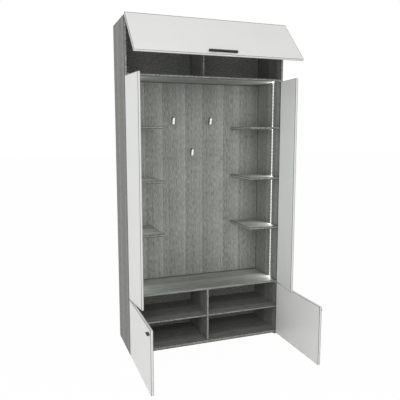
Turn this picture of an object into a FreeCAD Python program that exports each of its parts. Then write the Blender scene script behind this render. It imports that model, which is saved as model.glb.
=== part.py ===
"""Mudroom locker unit: an open coat niche between shelved corners, with a bench, shoe compartments,
a top box behind a lift-up flap, four hinged doors and two light strips.

Frame: millimetres, +Z up, the fronts face -Y, origin on the floor under the middle of the carcass.
The doors and the flap stand open, as in the photograph.
"""
import FreeCAD
import Part
import math
import os
import re
from collections import defaultdict, namedtuple

import Sketcher

Vector = FreeCAD.Vector
Rotation = FreeCAD.Rotation

# Driving dimensions, in millimetres and degrees.
SIZES = {
    # carcass boards
    "carcass_width": 1116,
    "carcass_depth": 350,
    "carcass_height": 2195,
    "board": 16,
    "bottom_thickness": 25,
    "edge_round": 0.8,
    "back_thickness": 10,
    "sheet_thickness": 4,
    # undersides of the bench and the shoe shelves above the floor, and the height of the top box
    "bench_level": 394,
    "shoe_shelf_level": 200,
    "top_box_height": 362,
    "corner_shelf_length": 227,
    "box_divider_setback": 89,
    # fronts
    "front_thickness": 16,
    "front_gap": 3,
    "side_reveal": 1,
    "centre_gap": 3,
    "tall_door_width": 242,
    "flap_lap": 1.5,
    "tall_open_angle": 84,
    "lower_open_angle": 90,
    "flap_open_angle": 44,
    # door pivots
    "pivot_inset": 7,
    "pivot_clearance": 0.5,
    "plate_thickness": 2,
    "plate_arm": 10,
    "plate_side_gap": 2,
    "plate_tab_width": 20,
    "plate_tab_depth": 45,
    "plate_screw_inset": 15,
    "plate_screw_pitch": 20,
    "pin_diameter": 5,
    "pin_length": 8,
    "bush_diameter": 8,
    "bush_length": 10,
    "running_fit": 0.05,
    # flap hinges
    "hinge_inset": 142,
    "hinge_length": 60,
    "knuckle_length": 20,
    "knuckle_gap": 0.3,
    "barrel_diameter": 9,
    "barrel_clearance": 0.3,
    "leaf_thickness": 1.6,
    "fixed_leaf_depth": 18,
    "moving_leaf_depth": 10,
    "leaf_screw_spacing": 36,
    "hinge_pin_diameter": 4,
    # handle on the flap and pulls on the lower doors
    "handle_length": 190,
    "handle_height": 8,
    "handle_reach": 16,
    "handle_round": 1.5,
    "handle_rise": 18,
    "handle_screw_spacing": 128,
    "pull_length": 40,
    "pull_inset": 18,
    "pull_drop": 26,
    "pull_screw_spacing": 20,
    "handle_screw_diameter": 4,
    "handle_screw_grip": 10,
    "handle_screw_head": 7,
    "handle_screw_head_height": 2,
    # coat hooks
    "hook_spread": 143,
    "hook_fall": 297,
    "hook_drop": 226,
    "hook_width": 18,
    "hook_strap": 3,
    "hook_throat": 8,
    "hook_lean": 13,
    "hook_rise": 50,
    "hook_leg_rise": 36,
    "hook_plate_rise": 56,
    "hook_plate_thickness": 2,
    "hook_inner_bend": 3,
    "hook_tip_round": 1.2,
    "hook_screw_drop": 6,
    "hook_screw_diameter": 3,
    "hook_screw_length": 10,
    "hook_screw_head": 6,
    "hook_screw_head_height": 1.6,
    # light strips
    "light_setback": 105,
    "profile_width": 17,
    "profile_depth": 7,
    "profile_wall": 1.2,
    "tape_width": 10,
    "tape_thickness": 1.6,
    "diffuser_thickness": 1.6,
    "cap_thickness": 1.5,
    "driver_length": 150,
    "driver_width": 42,
    "driver_height": 22,
    "driver_flange": 16,
    "driver_base": 3,
    "driver_round": 1.5,
    "driver_side_inset": 270,
    "driver_back_gap": 40,
    "gland_diameter": 10,
    "gland_length": 9,
    # fixings
    "drill_fit": 0.1,
    "overrun": 1,
    "screw_diameter": 3.5,
    "screw_length": 12,
    "screw_head": 7,
    "screw_head_height": 2,
    "panel_screw_diameter": 4,
    "panel_screw_length": 30,
    "panel_screw_head": 8,
    "panel_screw_head_height": 3,
    "sheet_screw_inset": 62,
    "dowel_diameter": 6,
    "dowel_length": 25,
    "dowel_seat": 9,
    "dowel_inset": 95,
    "dowel_stagger": 20,
    "shelf_dowel_front": 45,
    "shelf_dowel_back": 265,
    "back_dowel_inset": 120,
    "cam_diameter": 15,
    "cam_height": 12.5,
    "cam_distance": 24,
    "cam_inset": 60,
    "cam_bolt_diameter": 6,
    "cam_bolt_depth": 11,
    "glide_height": 5,
    "glide_diameter": 14,
    "glide_nail_diameter": 2.5,
    "glide_nail_length": 14,
    "glide_inset": 22,
    "bracket_leg": 30,
    "bracket_width": 40,
    "bracket_thickness": 2,
    "bracket_side_inset": 150,
    "bracket_hole_diameter": 6,
    "bracket_hole_rise": 18,
    "bracket_screw_spacing": 24,
    "bracket_screw_inset": 16,
}

# Places that several pieces share, written in the sizes above.
HALF = "(carcass_width / 2)"
INNER = f"({HALF} - board)"
INNER_WIDTH = f"(2 * {INNER})"
FRONT = "(-carcass_depth / 2)"
BACK = "(carcass_depth / 2)"
TOP = "(glide_height + carcass_height)"
TOP_PANEL_LEVEL = f"({TOP} - board)"
BOARD_DEPTH = "(carcass_depth - sheet_thickness)"
BOTTOM_TOP = "(glide_height + bottom_thickness)"
BENCH_TOP = "(bench_level + board)"
BOX_FLOOR = f"({TOP} - top_box_height)"
NICHE_HEIGHT = f"({BOX_FLOOR} - {BENCH_TOP})"
NICHE_BACK = f"({BACK} - back_thickness)"
PIVOT_X = f"({HALF} - side_reveal - pivot_inset)"
PIVOT_Y = f"({FRONT} - front_gap - front_thickness + pivot_inset)"
PLATE_TAB_START = "(board - side_reveal - pivot_inset + plate_side_gap)"
PLATE_FRONT = "(front_gap + front_thickness - pivot_inset)"
TALL_BOTTOM = "(bench_level + pivot_clearance)"
TALL_TOP = f"({BOX_FLOOR} - plate_thickness - pivot_clearance)"
LOWER_BOTTOM = "(glide_height + pivot_clearance)"
LOWER_TOP = "(bench_level - plate_thickness - pivot_clearance)"
LOWER_DOOR_WIDTH = f"({HALF} - side_reveal - centre_gap / 2)"
HINGE_Y = f"({FRONT} - front_gap / 2)"
HINGE_RISE = "(barrel_diameter / 2 + barrel_clearance)"
HOOK_LEVEL = f"({BOX_FLOOR} - hook_fall)"
FLAP_HEIGHT = "(top_box_height - flap_lap)"

# Undersides of the corner shelves, as shares of the niche's height above the bench.
CORNER_SHELF_NAMES = ("lower", "middle", "upper")
CORNER_SHELF_SHARES = (0.271, 0.5203, 0.7696)
SIDES = {"left": -1, "right": 1}

# Faces and edges of a plain block, by their names.
FRONT_FACE = ("Face3",)
UNDER_FACE = ("Face5",)
BLOCK_EDGES = 12
ALL_EDGES = tuple(f"Edge{number}" for number in range(1, BLOCK_EDGES + 1))
MATCH_SHARE = 0.01

WORD = re.compile(r"[a-z_]+")
QUARTER_TURN = 90
X_AXIS = Vector(1, 0, 0)
Y_AXIS = Vector(0, 1, 0)
Z_AXIS = Vector(0, 0, 1)
TURNS = {
    "z": Rotation(),
    "-z": Rotation(X_AXIS, 2 * QUARTER_TURN),
    "x": Rotation(Y_AXIS, QUARTER_TURN),
    "-x": Rotation(Y_AXIS, -QUARTER_TURN),
    "y": Rotation(X_AXIS, -QUARTER_TURN),
    "-y": Rotation(X_AXIS, QUARTER_TURN),
}
Fixing = namedtuple("Fixing", "diameter length head head_height")
CARCASS_SCREW = Fixing("screw_diameter", "screw_length", "screw_head", "screw_head_height")
PANEL_SCREW = Fixing(
    "panel_screw_diameter", "panel_screw_length", "panel_screw_head", "panel_screw_head_height"
)
HOOK_SCREW = Fixing("hook_screw_diameter", "hook_screw_length", "hook_screw_head", "hook_screw_head_height")
HANDLE_SCREW = Fixing(
    "handle_screw_diameter",
    "(front_thickness + handle_screw_grip)",
    "handle_screw_head",
    "handle_screw_head_height",
)
GLIDE = Fixing("glide_nail_diameter", "glide_nail_length", "glide_diameter", "glide_height")

doc = FreeCAD.newDocument("MudroomLocker")
pieces = {}
holes = defaultdict(list)
groups = defaultdict(list)


def fill_sheet():
    """Write the driving dimensions into the sheet, one named cell each."""
    sheet = doc.addObject("Spreadsheet::Sheet", "Sizes")
    for row, (alias, number) in enumerate(SIZES.items(), 1):
        sheet.set(f"A{row}", alias)
        sheet.set(f"B{row}", str(number))
        sheet.setAlias(f"B{row}", alias)
    doc.recompute()


def formula(text):
    """Point every size named in an expression at its cell in the sheet."""
    return WORD.sub(lambda word: f"Sizes.{word[0]}" if word[0] in SIZES else word[0], text)


def bind(item, **sizes):
    """Drive an object's properties by expressions in the sizes."""
    for name, text in sizes.items():
        item.setExpression(name, formula(text))


def place(item, spot, turn=None):
    """Drive an object's position, after an optional fixed turn."""
    if turn:
        item.Placement = FreeCAD.Placement(Vector(), turn)
    for axis, text in zip("xyz", spot):
        item.setExpression(f"Placement.Base.{axis}", formula(text))


def along(axis, spot, amount):
    """The spot moved along a signed axis by an amount."""
    sign = "-" if axis.startswith("-") else "+"
    return tuple(
        f"{text} {sign} ({amount})" if name == axis[-1] else text for name, text in zip("xyz", spot)
    )


def opposite(axis):
    """The same axis, pointing the other way."""
    return axis[-1] if axis.startswith("-") else f"-{axis}"


def box(name, spot, extents):
    """A plain box from its lowest corner."""
    item = doc.addObject("Part::Box", name)
    length, width, height = extents
    bind(item, Length=length, Width=width, Height=height)
    place(item, spot)
    return item


def cylinder(name, diameter, length, spot, axis):
    """A cylinder that starts at a spot and runs along a signed axis."""
    item = doc.addObject("Part::Cylinder", name)
    bind(item, Radius=f"({diameter}) / 2", Height=length)
    place(item, spot, TURNS[axis])
    return item


def fuse(name, items):
    """Several solids joined into one."""
    item = doc.addObject("Part::MultiFuse", name)
    item.Shapes = items
    item.Refine = True
    return item


def compound(name, items):
    """Several separate solids in one object."""
    item = doc.addObject("Part::Compound", name)
    item.Links = items
    return item


def keep(label, item):
    """Register a finished sub-part under its own label."""
    item.Label = label
    pieces[label] = item
    return item


def rounded_block(name, spot, extents, round_size, faces):
    """A block whose edges around the named faces are rounded."""
    body = doc.addObject("PartDesign::Body", f"{name}Blank")
    block = body.newObject("PartDesign::AdditiveBox", f"{name}Block")
    length, width, height = extents
    bind(block, Length=length, Width=width, Height=height)
    place(block, spot)
    doc.recompute()
    rounding = body.newObject("PartDesign::Fillet", f"{name}Edges")
    rounding.Base = (block, list(faces))
    bind(rounding, Radius=round_size)
    return body


def drilled(name, blank, tools):
    """A blank with its holes and grooves taken out."""
    if not tools:
        return blank
    item = doc.addObject("Part::Cut", name)
    item.Base = blank
    item.Tool = compound(f"{name}Holes", tools)
    return item


def board(label, spot, extents, faces=FRONT_FACE):
    """A carcass board with a softened front edge and its drillings."""
    blank = rounded_block(label, spot, extents, "edge_round", faces)
    return keep(label, drilled(f"{label}_cut", blank, holes[label]))


def outline_sketch(body, role, points):
    """A closed outline of straight edges, each corner held from the origin by two driven distances."""
    sketch = body.newObject("Sketcher::SketchObject", f"{body.Name}Outline")
    plane = next(item for item in body.Origin.OriginFeatures if item.Role == role)
    sketch.AttachmentSupport = (plane, [""])
    sketch.MapMode = "FlatFace"
    count = len(points)
    turns = [math.tau * index / count for index in range(count)]
    start = [Vector(math.cos(turn), math.sin(turn), 0) for turn in turns]
    for index in range(count):
        sketch.addGeometry(Part.LineSegment(start[index], start[(index + 1) % count]), False)
    for index in range(count):
        sketch.addConstraint(Sketcher.Constraint("Coincident", index, 2, (index + 1) % count, 1))
    for index, texts in enumerate(points):
        for kind, text, first in zip(("DistanceX", "DistanceY"), texts, start[index]):
            number = sketch.addConstraint(Sketcher.Constraint(kind, -1, 1, index, 1, first))
            sketch.setExpression(f"Constraints[{number}]", formula(text))
    return sketch


def dowel(cross_panel, end_board, axis, spot):
    """A dowel across a joint; the axis points from the cross panel into the board's end."""
    start = along(axis, spot, "-dowel_seat")
    groups["wood_dowels"].append(cylinder("Dowel", "dowel_diameter", "dowel_length", start, axis))
    bore = cylinder(
        "DowelBore",
        "dowel_diameter + 2 * drill_fit",
        "dowel_length + 2 * drill_fit",
        along(axis, spot, "-dowel_seat - drill_fit"),
        axis,
    )
    holes[cross_panel].append(bore)
    holes[end_board].append(bore)


def cam_joint(side_panel, end_board, side, y, level, opens_up):
    """A cam let into a board near its end, and the bolt from the side panel that it pulls."""
    axis = "-x" if side > 0 else "x"
    joint = (f"{side} * {INNER}", y, f"{level} + board / 2")
    reach = "(cam_bolt_depth + cam_distance - cam_diameter / 2 - 2 * drill_fit)"
    start = along(axis, joint, "-cam_bolt_depth")
    groups["cam_bolts"].append(cylinder("CamBolt", "cam_bolt_diameter", reach, start, axis))
    bolt_bore = cylinder(
        "CamBoltBore",
        "cam_bolt_diameter + 2 * drill_fit",
        f"{reach} + 3 * drill_fit",
        along(axis, joint, "-cam_bolt_depth - drill_fit"),
        axis,
    )
    holes[side_panel].append(bolt_bore)
    holes[end_board].append(bolt_bore)
    centre = along(axis, joint, "cam_distance")
    way = "z" if opens_up else "-z"
    inner_end = along(way, centre, "board / 2 - cam_height")
    groups["cam_housings"].append(cylinder("Cam", "cam_diameter", "cam_height", inner_end, way))
    cam_bore = cylinder(
        "CamBore",
        "cam_diameter + 2 * drill_fit",
        "cam_height + drill_fit + overrun",
        along(way, centre, "board / 2 - cam_height - drill_fit"),
        way,
    )
    holes[end_board].append(cam_bore)


def screw(group, fixing, axis, spot, through, sunk_in=None):
    """A headed fixing seated at a spot, its shank along the axis and through the named pieces."""
    shank = cylinder("Shank", fixing.diameter, fixing.length, spot, axis)
    head = cylinder("Head", fixing.head, fixing.head_height, spot, opposite(axis))
    groups[group].append(fuse("Screw", [shank, head]))
    bore = cylinder(
        "ScrewBore",
        f"{fixing.diameter} + 2 * drill_fit",
        f"{fixing.length} + 2 * drill_fit",
        along(axis, spot, "-drill_fit"),
        axis,
    )
    for label in through:
        holes[label].append(bore)
    if sunk_in:
        recess = cylinder(
            "HeadRecess",
            f"{fixing.head} + 2 * drill_fit",
            f"{fixing.head_height} + overrun",
            spot,
            opposite(axis),
        )
        holes[sunk_in].append(recess)


def outward(side, near, far):
    """Lowest x of a span measured from a side panel's inner face outward."""
    return f"{INNER} + ({near})" if side > 0 else f"-{INNER} - ({far})"


def shelf_level(share):
    """Underside of a corner shelf at its share of the niche's height."""
    return f"({BENCH_TOP} + {share} * {NICHE_HEIGHT})"


def panel_label(side_name):
    """Label of the side panel on the named side."""
    return f"{side_name}_side_panel"


def join_level_boards():
    """Cams and dowels that join the four full-width boards to the side panels."""
    levels = (
        ("top_panel", TOP_PANEL_LEVEL, True),
        ("top_box_floor", BOX_FLOOR, True),
        ("bench_seat", "bench_level", False),
        ("bottom_panel", "glide_height", False),
    )
    for label, level, opens_up in levels:
        for side_name, side in SIDES.items():
            for edge, sign in ((FRONT, 1), (f"({BACK} - sheet_thickness)", -1)):
                cam_y = f"{edge} + {sign} * cam_inset"
                cam_joint(panel_label(side_name), label, side, cam_y, level, opens_up)
                dowel(
                    panel_label(side_name),
                    label,
                    "-x" if side > 0 else "x",
                    (f"{side} * {INNER}", f"{edge} + {sign} * dowel_inset", f"{level} + board / 2"),
                )


def join_dividers():
    """Dowels at the head and foot of both dividers."""
    divider_y = (
        f"{FRONT} + box_divider_setback + dowel_inset / 2",
        f"{BACK} - sheet_thickness - dowel_inset / 2",
    )
    for y in divider_y:
        dowel("top_box_floor", "top_box_divider", "z", ("0", y, f"{BOX_FLOOR} + board"))
        dowel("top_panel", "top_box_divider", "-z", ("0", y, TOP_PANEL_LEVEL))
        dowel("bottom_panel", "shoe_divider", "z", ("0", y, BOTTOM_TOP))
        dowel("bench_seat", "shoe_divider", "-z", ("0", y, "bench_level"))


def join_shelves():
    """Dowels that carry the shoe shelves and the corner shelves."""
    for side_name, side in SIDES.items():
        inward = "-x" if side > 0 else "x"
        shelf = f"{side_name}_shoe_shelf"
        middle = "shoe_shelf_level + board / 2"
        stagger = "dowel_stagger" if side > 0 else "0"
        for y in (f"{FRONT} + shelf_dowel_front + {stagger}", f"{FRONT} + shelf_dowel_back + {stagger}"):
            dowel(panel_label(side_name), shelf, inward, (f"{side} * {INNER}", y, middle))
            dowel("shoe_divider", shelf, opposite(inward), (f"{side} * board / 2", y, middle))
        for step_name, share in zip(CORNER_SHELF_NAMES, CORNER_SHELF_SHARES):
            shelf = f"{side_name}_{step_name}_shelf"
            middle = f"{shelf_level(share)} + board / 2"
            for y in (f"{FRONT} + shelf_dowel_front", f"{FRONT} + shelf_dowel_back"):
                dowel(panel_label(side_name), shelf, inward, (f"{side} * {INNER}", y, middle))
            shelf_centre = f"{side} * ({INNER} - corner_shelf_length / 2)"
            screw(
                "back_panel_screws",
                PANEL_SCREW,
                "-y",
                (shelf_centre, f"{BACK} - panel_screw_head_height", middle),
                ("middle_back_panel", shelf),
                sunk_in="middle_back_panel",
            )


def join_backs():
    """Dowels for the middle back panel and sunk screws for the two thin sheets."""
    for side_name, side in SIDES.items():
        inward = "-x" if side > 0 else "x"
        for z in (
            f"{BENCH_TOP} + back_dowel_inset",
            f"{BENCH_TOP} + {NICHE_HEIGHT} / 2",
            f"{BOX_FLOOR} - back_dowel_inset",
        ):
            spot = (f"{side} * {INNER}", f"{BACK} - back_thickness / 2", z)
            dowel(panel_label(side_name), "middle_back_panel", inward, spot)
    rows = (
        ("top_back_sheet", "top_panel", TOP_PANEL_LEVEL),
        ("top_back_sheet", "top_box_floor", BOX_FLOOR),
        ("lower_back_sheet", "bench_seat", "bench_level"),
        ("lower_back_sheet", "bottom_panel", "glide_height"),
    )
    for sheet_label, board_label, level in rows:
        for step in (-1, 0, 1):
            x = f"{step} * ({INNER} - sheet_screw_inset)"
            screw(
                "carcass_screws",
                CARCASS_SCREW,
                "-y",
                (x, f"{BACK} - screw_head_height", f"{level} + board / 2"),
                (sheet_label, board_label),
                sunk_in=sheet_label,
            )


def make_glides():
    """Nailed glides under the side panels and under the middle of the bottom panel."""
    for side_name, side in SIDES.items():
        for y in (f"{FRONT} + glide_inset", f"{BACK} - glide_inset"):
            spot = (f"{side} * ({HALF} - board / 2)", y, "glide_height")
            screw("floor_glides", GLIDE, "z", spot, (panel_label(side_name),))
    screw("floor_glides", GLIDE, "z", ("0", "0", "glide_height"), ("bottom_panel",))


def make_wall_brackets():
    """Two steel angles on the top panel that hold the unit to a wall."""
    brackets = []
    for side_name, side in SIDES.items():
        label = f"{side_name}_wall_bracket"
        centre = f"{side} * ({HALF} - bracket_side_inset)"
        corner = f"{centre} - bracket_width / 2"
        foot = box(
            "BracketFoot",
            (corner, f"{BACK} - bracket_leg", TOP),
            ("bracket_width", "bracket_leg", "bracket_thickness"),
        )
        wall_leg = box(
            "BracketLeg",
            (corner, f"{BACK} - bracket_thickness", TOP),
            ("bracket_width", "bracket_thickness", "bracket_leg"),
        )
        wall_hole = cylinder(
            "BracketHole",
            "bracket_hole_diameter",
            "bracket_thickness + 2 * overrun",
            (centre, f"{BACK} - bracket_thickness - overrun", f"{TOP} + bracket_hole_rise"),
            "y",
        )
        holes[label].append(wall_hole)
        for sign in (-1, 1):
            spot = (
                f"{centre} + {sign} * bracket_screw_spacing / 2",
                f"{BACK} - bracket_screw_inset",
                f"{TOP} + bracket_thickness",
            )
            screw("carcass_screws", CARCASS_SCREW, "-z", spot, (label, "top_panel"))
        brackets.append(drilled(label, fuse("Bracket", [foot, wall_leg]), holes[label]))
    keep("wall_brackets", compound("WallBrackets", brackets))


def hook_edges(solid, corners):
    """Names of the hook's cross edges that pass through the given profile corners."""
    names = []
    for number, edge in enumerate(solid.Edges, 1):
        middle = edge.CenterOfMass
        slack = edge.Length * MATCH_SHARE
        runs_across = abs(edge.BoundBox.XLength - edge.Length) < slack
        if runs_across and any(middle.distanceToPoint(corner) < slack for corner in corners):
            names.append(f"Edge{number}")
    return names


def make_hook(label, x, z):
    """A coat hook: a flat wall plate, and a bent strap on it whose prong leans outward."""
    body = doc.addObject("PartDesign::Body", label)
    floor_end = "-(2 * hook_strap + hook_throat)"
    points = {
        "heel": ("0", "0"),
        "leg_top_rear": ("0", "hook_leg_rise"),
        "leg_top_front": ("-hook_strap", "hook_leg_rise"),
        "throat_rear": ("-hook_strap", "hook_strap"),
        "throat_front": ("-(hook_strap + hook_throat)", "hook_strap"),
        "tip_rear": (f"{floor_end} - hook_lean + hook_strap", "hook_rise"),
        "tip_front": (f"{floor_end} - hook_lean", "hook_rise"),
        "toe": (floor_end, "0"),
    }
    sketch = outline_sketch(body, "YZ_Plane", list(points.values()))
    strap = body.newObject("PartDesign::Pad", f"{label}Strap")
    strap.Profile = sketch
    strap.Midplane = True
    bind(strap, Length="hook_width")
    doc.recompute()
    corners = {name: sketch.getPoint(index, 1) for index, name in enumerate(points)}
    previous = strap
    rounds = (
        (("heel", "toe"), "hook_inner_bend + hook_strap"),
        (("throat_rear", "throat_front"), "hook_inner_bend"),
        (("leg_top_rear", "leg_top_front", "tip_rear", "tip_front"), "hook_tip_round"),
    )
    for corner_names, size in rounds:
        rounding = body.newObject("PartDesign::Fillet", f"{label}Bend")
        bend_places = [Vector(0, corners[name].x, corners[name].y) for name in corner_names]
        names = hook_edges(previous.Shape, bend_places)
        rounding.Base = (previous, names)
        bind(rounding, Radius=size)
        doc.recompute()
        previous = rounding
    plate_front = f"({NICHE_BACK} - hook_plate_thickness)"
    place(body, (x, plate_front, z))
    keep(label, body)
    plate_label = f"{label}_plate"
    seat = (x, plate_front, f"{z} + hook_plate_rise - hook_screw_drop")
    screw("coat_hook_screws", HOOK_SCREW, "y", seat, (plate_label, "middle_back_panel"))
    plate = rounded_block(
        plate_label,
        (f"{x} - hook_width / 2", plate_front, z),
        ("hook_width", "hook_plate_thickness", "hook_plate_rise"),
        "hook_tip_round",
        FRONT_FACE,
    )
    groups["coat_hook_plates"].append(drilled(f"{plate_label}_cut", plate, holes[plate_label]))


def make_hooks():
    """Two hooks side by side and one lower between them."""
    for side_name, side in SIDES.items():
        make_hook(f"{side_name}_coat_hook", f"{side} * hook_spread", HOOK_LEVEL)
    make_hook("centre_coat_hook", "0", f"({HOOK_LEVEL} - hook_drop)")


def make_lights():
    """Light strips let into the side panels, flush with their inner faces."""
    centre_y = f"({FRONT} + light_setback)"
    low = f"({BENCH_TOP} + cap_thickness)"
    run = f"({NICHE_HEIGHT} - 2 * cap_thickness)"
    slot_width = "(profile_width - 2 * profile_wall)"
    cover_width = f"({slot_width} - 2 * drill_fit)"
    base = "(profile_depth - profile_wall)"
    for side_name, side in SIDES.items():
        groove = box(
            "LightGroove",
            (
                outward(side, "-overrun", "profile_depth + drill_fit"),
                f"{centre_y} - profile_width / 2 - drill_fit",
                BENCH_TOP,
            ),
            (
                "profile_depth + drill_fit + overrun",
                "profile_width + 2 * drill_fit",
                NICHE_HEIGHT,
            ),
        )
        holes[panel_label(side_name)].append(groove)
        profile_y = f"{centre_y} - profile_width / 2"
        channel = box(
            "Channel",
            (outward(side, "0", "profile_depth"), profile_y, low),
            ("profile_depth", "profile_width", run),
        )
        slot = box(
            "ChannelSlot",
            (outward(side, "-overrun", base), f"{profile_y} + profile_wall", f"{low} - overrun"),
            (f"{base} + overrun", slot_width, f"{run} + 2 * overrun"),
        )
        keep(f"{side_name}_light_profile", drilled(f"{side_name}Profile", channel, [slot]))
        tape = box(
            "Tape",
            (outward(side, f"{base} - tape_thickness", base), f"{centre_y} - tape_width / 2", low),
            ("tape_thickness", "tape_width", run),
        )
        groups["light_tapes"].append(tape)
        cover = box(
            f"{side_name}Cover",
            (outward(side, "0", "diffuser_thickness"), f"{centre_y} - {cover_width} / 2", low),
            ("diffuser_thickness", cover_width, run),
        )
        keep(f"{side_name}_light_diffuser", cover)
        for z in (BENCH_TOP, f"{BOX_FLOOR} - cap_thickness"):
            cap = box(
                "LightCap",
                (outward(side, "0", "profile_depth"), profile_y, z),
                ("profile_depth", "profile_width", "cap_thickness"),
            )
            groups["light_end_caps"].append(cap)


def make_driver():
    """The light driver under the top panel, with a closed cable gland on its outer end."""
    label = "light_driver"
    centre_x = f"({INNER} - driver_side_inset)"
    centre_y = f"({BACK} - sheet_thickness - driver_back_gap - driver_width / 2)"
    case = rounded_block(
        "DriverCase",
        (
            f"{centre_x} - driver_length / 2",
            f"{centre_y} - driver_width / 2",
            f"{TOP_PANEL_LEVEL} - driver_height",
        ),
        ("driver_length", "driver_width", "driver_height"),
        "driver_round",
        UNDER_FACE,
    )
    flange_length = "(driver_length + 2 * driver_flange)"
    flange = box(
        "DriverFlange",
        (
            f"{centre_x} - {flange_length} / 2",
            f"{centre_y} - driver_width / 2",
            f"{TOP_PANEL_LEVEL} - driver_base",
        ),
        (flange_length, "driver_width", "driver_base"),
    )
    gland = cylinder(
        "DriverGland",
        "gland_diameter",
        "driver_length / 2 + gland_length",
        (centre_x, centre_y, f"{TOP_PANEL_LEVEL} - driver_base - (driver_height - driver_base) / 2"),
        "x",
    )
    for sign in (-1, 1):
        spot = (
            f"{centre_x} + {sign} * (driver_length + driver_flange) / 2",
            centre_y,
            f"{TOP_PANEL_LEVEL} - driver_base",
        )
        screw("carcass_screws", CARCASS_SCREW, "z", spot, (label, "top_panel"))
    keep(label, drilled("DriverDrilled", fuse("Driver", [case, flange, gland]), holes[label]))


def pivot_plate(name, side, level, ways):
    """An L-shaped steel plate in the seam of the fronts, with a riveted pin on the pivot axis."""
    body = doc.addObject("PartDesign::Body", name)
    tab_end = f"({PLATE_TAB_START} + plate_tab_width)"
    depth = f"({PLATE_FRONT} + plate_tab_depth)"
    corners = (
        ("-plate_arm / 2", "-plate_arm / 2"),
        (tab_end, "-plate_arm / 2"),
        (tab_end, depth),
        (PLATE_TAB_START, depth),
        (PLATE_TAB_START, "plate_arm / 2"),
        ("-plate_arm / 2", "plate_arm / 2"),
    )
    sketch = outline_sketch(body, "XY_Plane", [(f"{-side} * ({across})", y) for across, y in corners])
    blade = body.newObject("PartDesign::Pad", f"{name}Blade")
    blade.Profile = sketch
    bind(blade, Length="plate_thickness")
    doc.recompute()
    for way in ways:
        pin = body.newObject("PartDesign::AdditiveCylinder", f"{name}Pin")
        bind(pin, Radius="pin_diameter / 2", Height="plate_thickness + pin_length")
        place(pin, ("0", "0", "0" if way == "z" else "plate_thickness"), TURNS[way])
        doc.recompute()
    place(body, (f"{side} * {PIVOT_X}", PIVOT_Y, f"{level} - plate_thickness"))
    return body


def make_pivot_plates():
    """Pairs of pivot plates under the top box floor, the bench and the bottom panel."""
    rows = (
        ("top", BOX_FLOOR, ("-z",), "top_box_floor"),
        ("middle", "bench_level", ("z", "-z"), "bench_seat"),
        ("bottom", "glide_height", ("z",), "bottom_panel"),
    )
    for row_name, level, ways, board_label in rows:
        pair = []
        for side_name, side in SIDES.items():
            label = f"{side_name}_{row_name}_pivot"
            plate = pivot_plate(label, side, level, ways)
            x = f"{side} * ({PIVOT_X} - {PLATE_TAB_START} - plate_tab_width / 2)"
            for step in range(2):
                y = f"{FRONT} + plate_screw_inset + {step} * plate_screw_pitch"
                spot = (x, y, f"{level} - plate_thickness")
                screw("carcass_screws", CARCASS_SCREW, "z", spot, (label, board_label))
            pair.append(drilled(f"{label}_plate", plate, holes[label]))
        label = f"{row_name}_pivot_plates"
        keep(label, compound(f"{row_name}PivotPair", pair))


def hang(item, side, angle):
    """Swing a piece that is drawn shut about its pivot axis to where its door stands open."""
    item.Placement = FreeCAD.Placement(Vector(), Rotation(Z_AXIS, side))
    place(item, (f"{side} * {PIVOT_X}", PIVOT_Y, "0"))
    item.setExpression("Placement.Rotation.Angle", formula(f"{side} * {angle}"))


def lift(item):
    """Swing a piece that is drawn shut about the flap's hinge axis to where the flap stands open."""
    item.Placement = FreeCAD.Placement(Vector(), Rotation(X_AXIS, -1))
    place(item, ("0", HINGE_Y, f"{TOP} + {HINGE_RISE}"))
    item.setExpression("Placement.Rotation.Angle", formula("-flap_open_angle"))


def make_door(name, side, width, low, high, angle, has_pull):
    """A door drawn shut about its pivot axis, with its bushes and pull, then swung open."""
    label = f"{name}_door"
    outer_y = "-pivot_inset"
    hinge_edge = f"{side} * pivot_inset"
    corner = f"{hinge_edge} - {width}" if side > 0 else hinge_edge
    for z, way in ((low, "z"), (high, "-z")):
        sleeve = cylinder("Bush", "bush_diameter", "bush_length", ("0", "0", z), way)
        bore_start = along(way, ("0", "0", z), "-overrun")
        bore = cylinder(
            "BushBore", "pin_diameter + 2 * running_fit", "bush_length + 2 * overrun", bore_start, way
        )
        groups[f"{name}_bushes"].append(drilled("BushSleeve", sleeve, [bore]))
        seat = cylinder(
            "BushSeat",
            "bush_diameter + 2 * drill_fit",
            "bush_length + drill_fit + overrun",
            bore_start,
            way,
        )
        holes[label].append(seat)
    pieces_hung = [label, f"{name}_bushes"]
    if has_pull:
        pull = f"{name}_pull"
        inset = f"({width} - pivot_inset - pull_inset - pull_length / 2)"
        centre_x = f"{-side} * {inset}"
        low_z = f"({high} - pull_drop - handle_height)"
        bar = rounded_block(
            pull,
            (f"{centre_x} - pull_length / 2", f"{outer_y} - handle_reach", low_z),
            ("pull_length", "handle_reach", "handle_height"),
            "handle_round",
            FRONT_FACE,
        )
        for sign in (-1, 1):
            spot = (
                f"{centre_x} + {sign} * pull_screw_spacing / 2",
                "front_thickness - pivot_inset",
                f"{low_z} + handle_height / 2",
            )
            screw(f"{name}_pull_screws", HANDLE_SCREW, "-y", spot, (label, pull))
        keep(pull, drilled(f"{pull}_cut", bar, holes[pull]))
        pieces_hung += [pull, f"{name}_pull_screws"]
    board(label, (corner, outer_y, low), (width, "front_thickness", f"{high} - {low}"), ALL_EDGES)
    for hung in pieces_hung:
        if hung in groups:
            keep(hung, compound(f"{hung}_set", groups.pop(hung)))
        hang(pieces[hung], side, angle)


def make_doors():
    """Narrow tall doors over the corner shelves and wide doors over the shoe compartments."""
    for side_name, side in SIDES.items():
        make_door(
            f"upper_{side_name}", side, "tall_door_width", TALL_BOTTOM, TALL_TOP, "tall_open_angle", False
        )
        make_door(
            f"lower_{side_name}", side, LOWER_DOOR_WIDTH, LOWER_BOTTOM, LOWER_TOP, "lower_open_angle", True
        )


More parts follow.
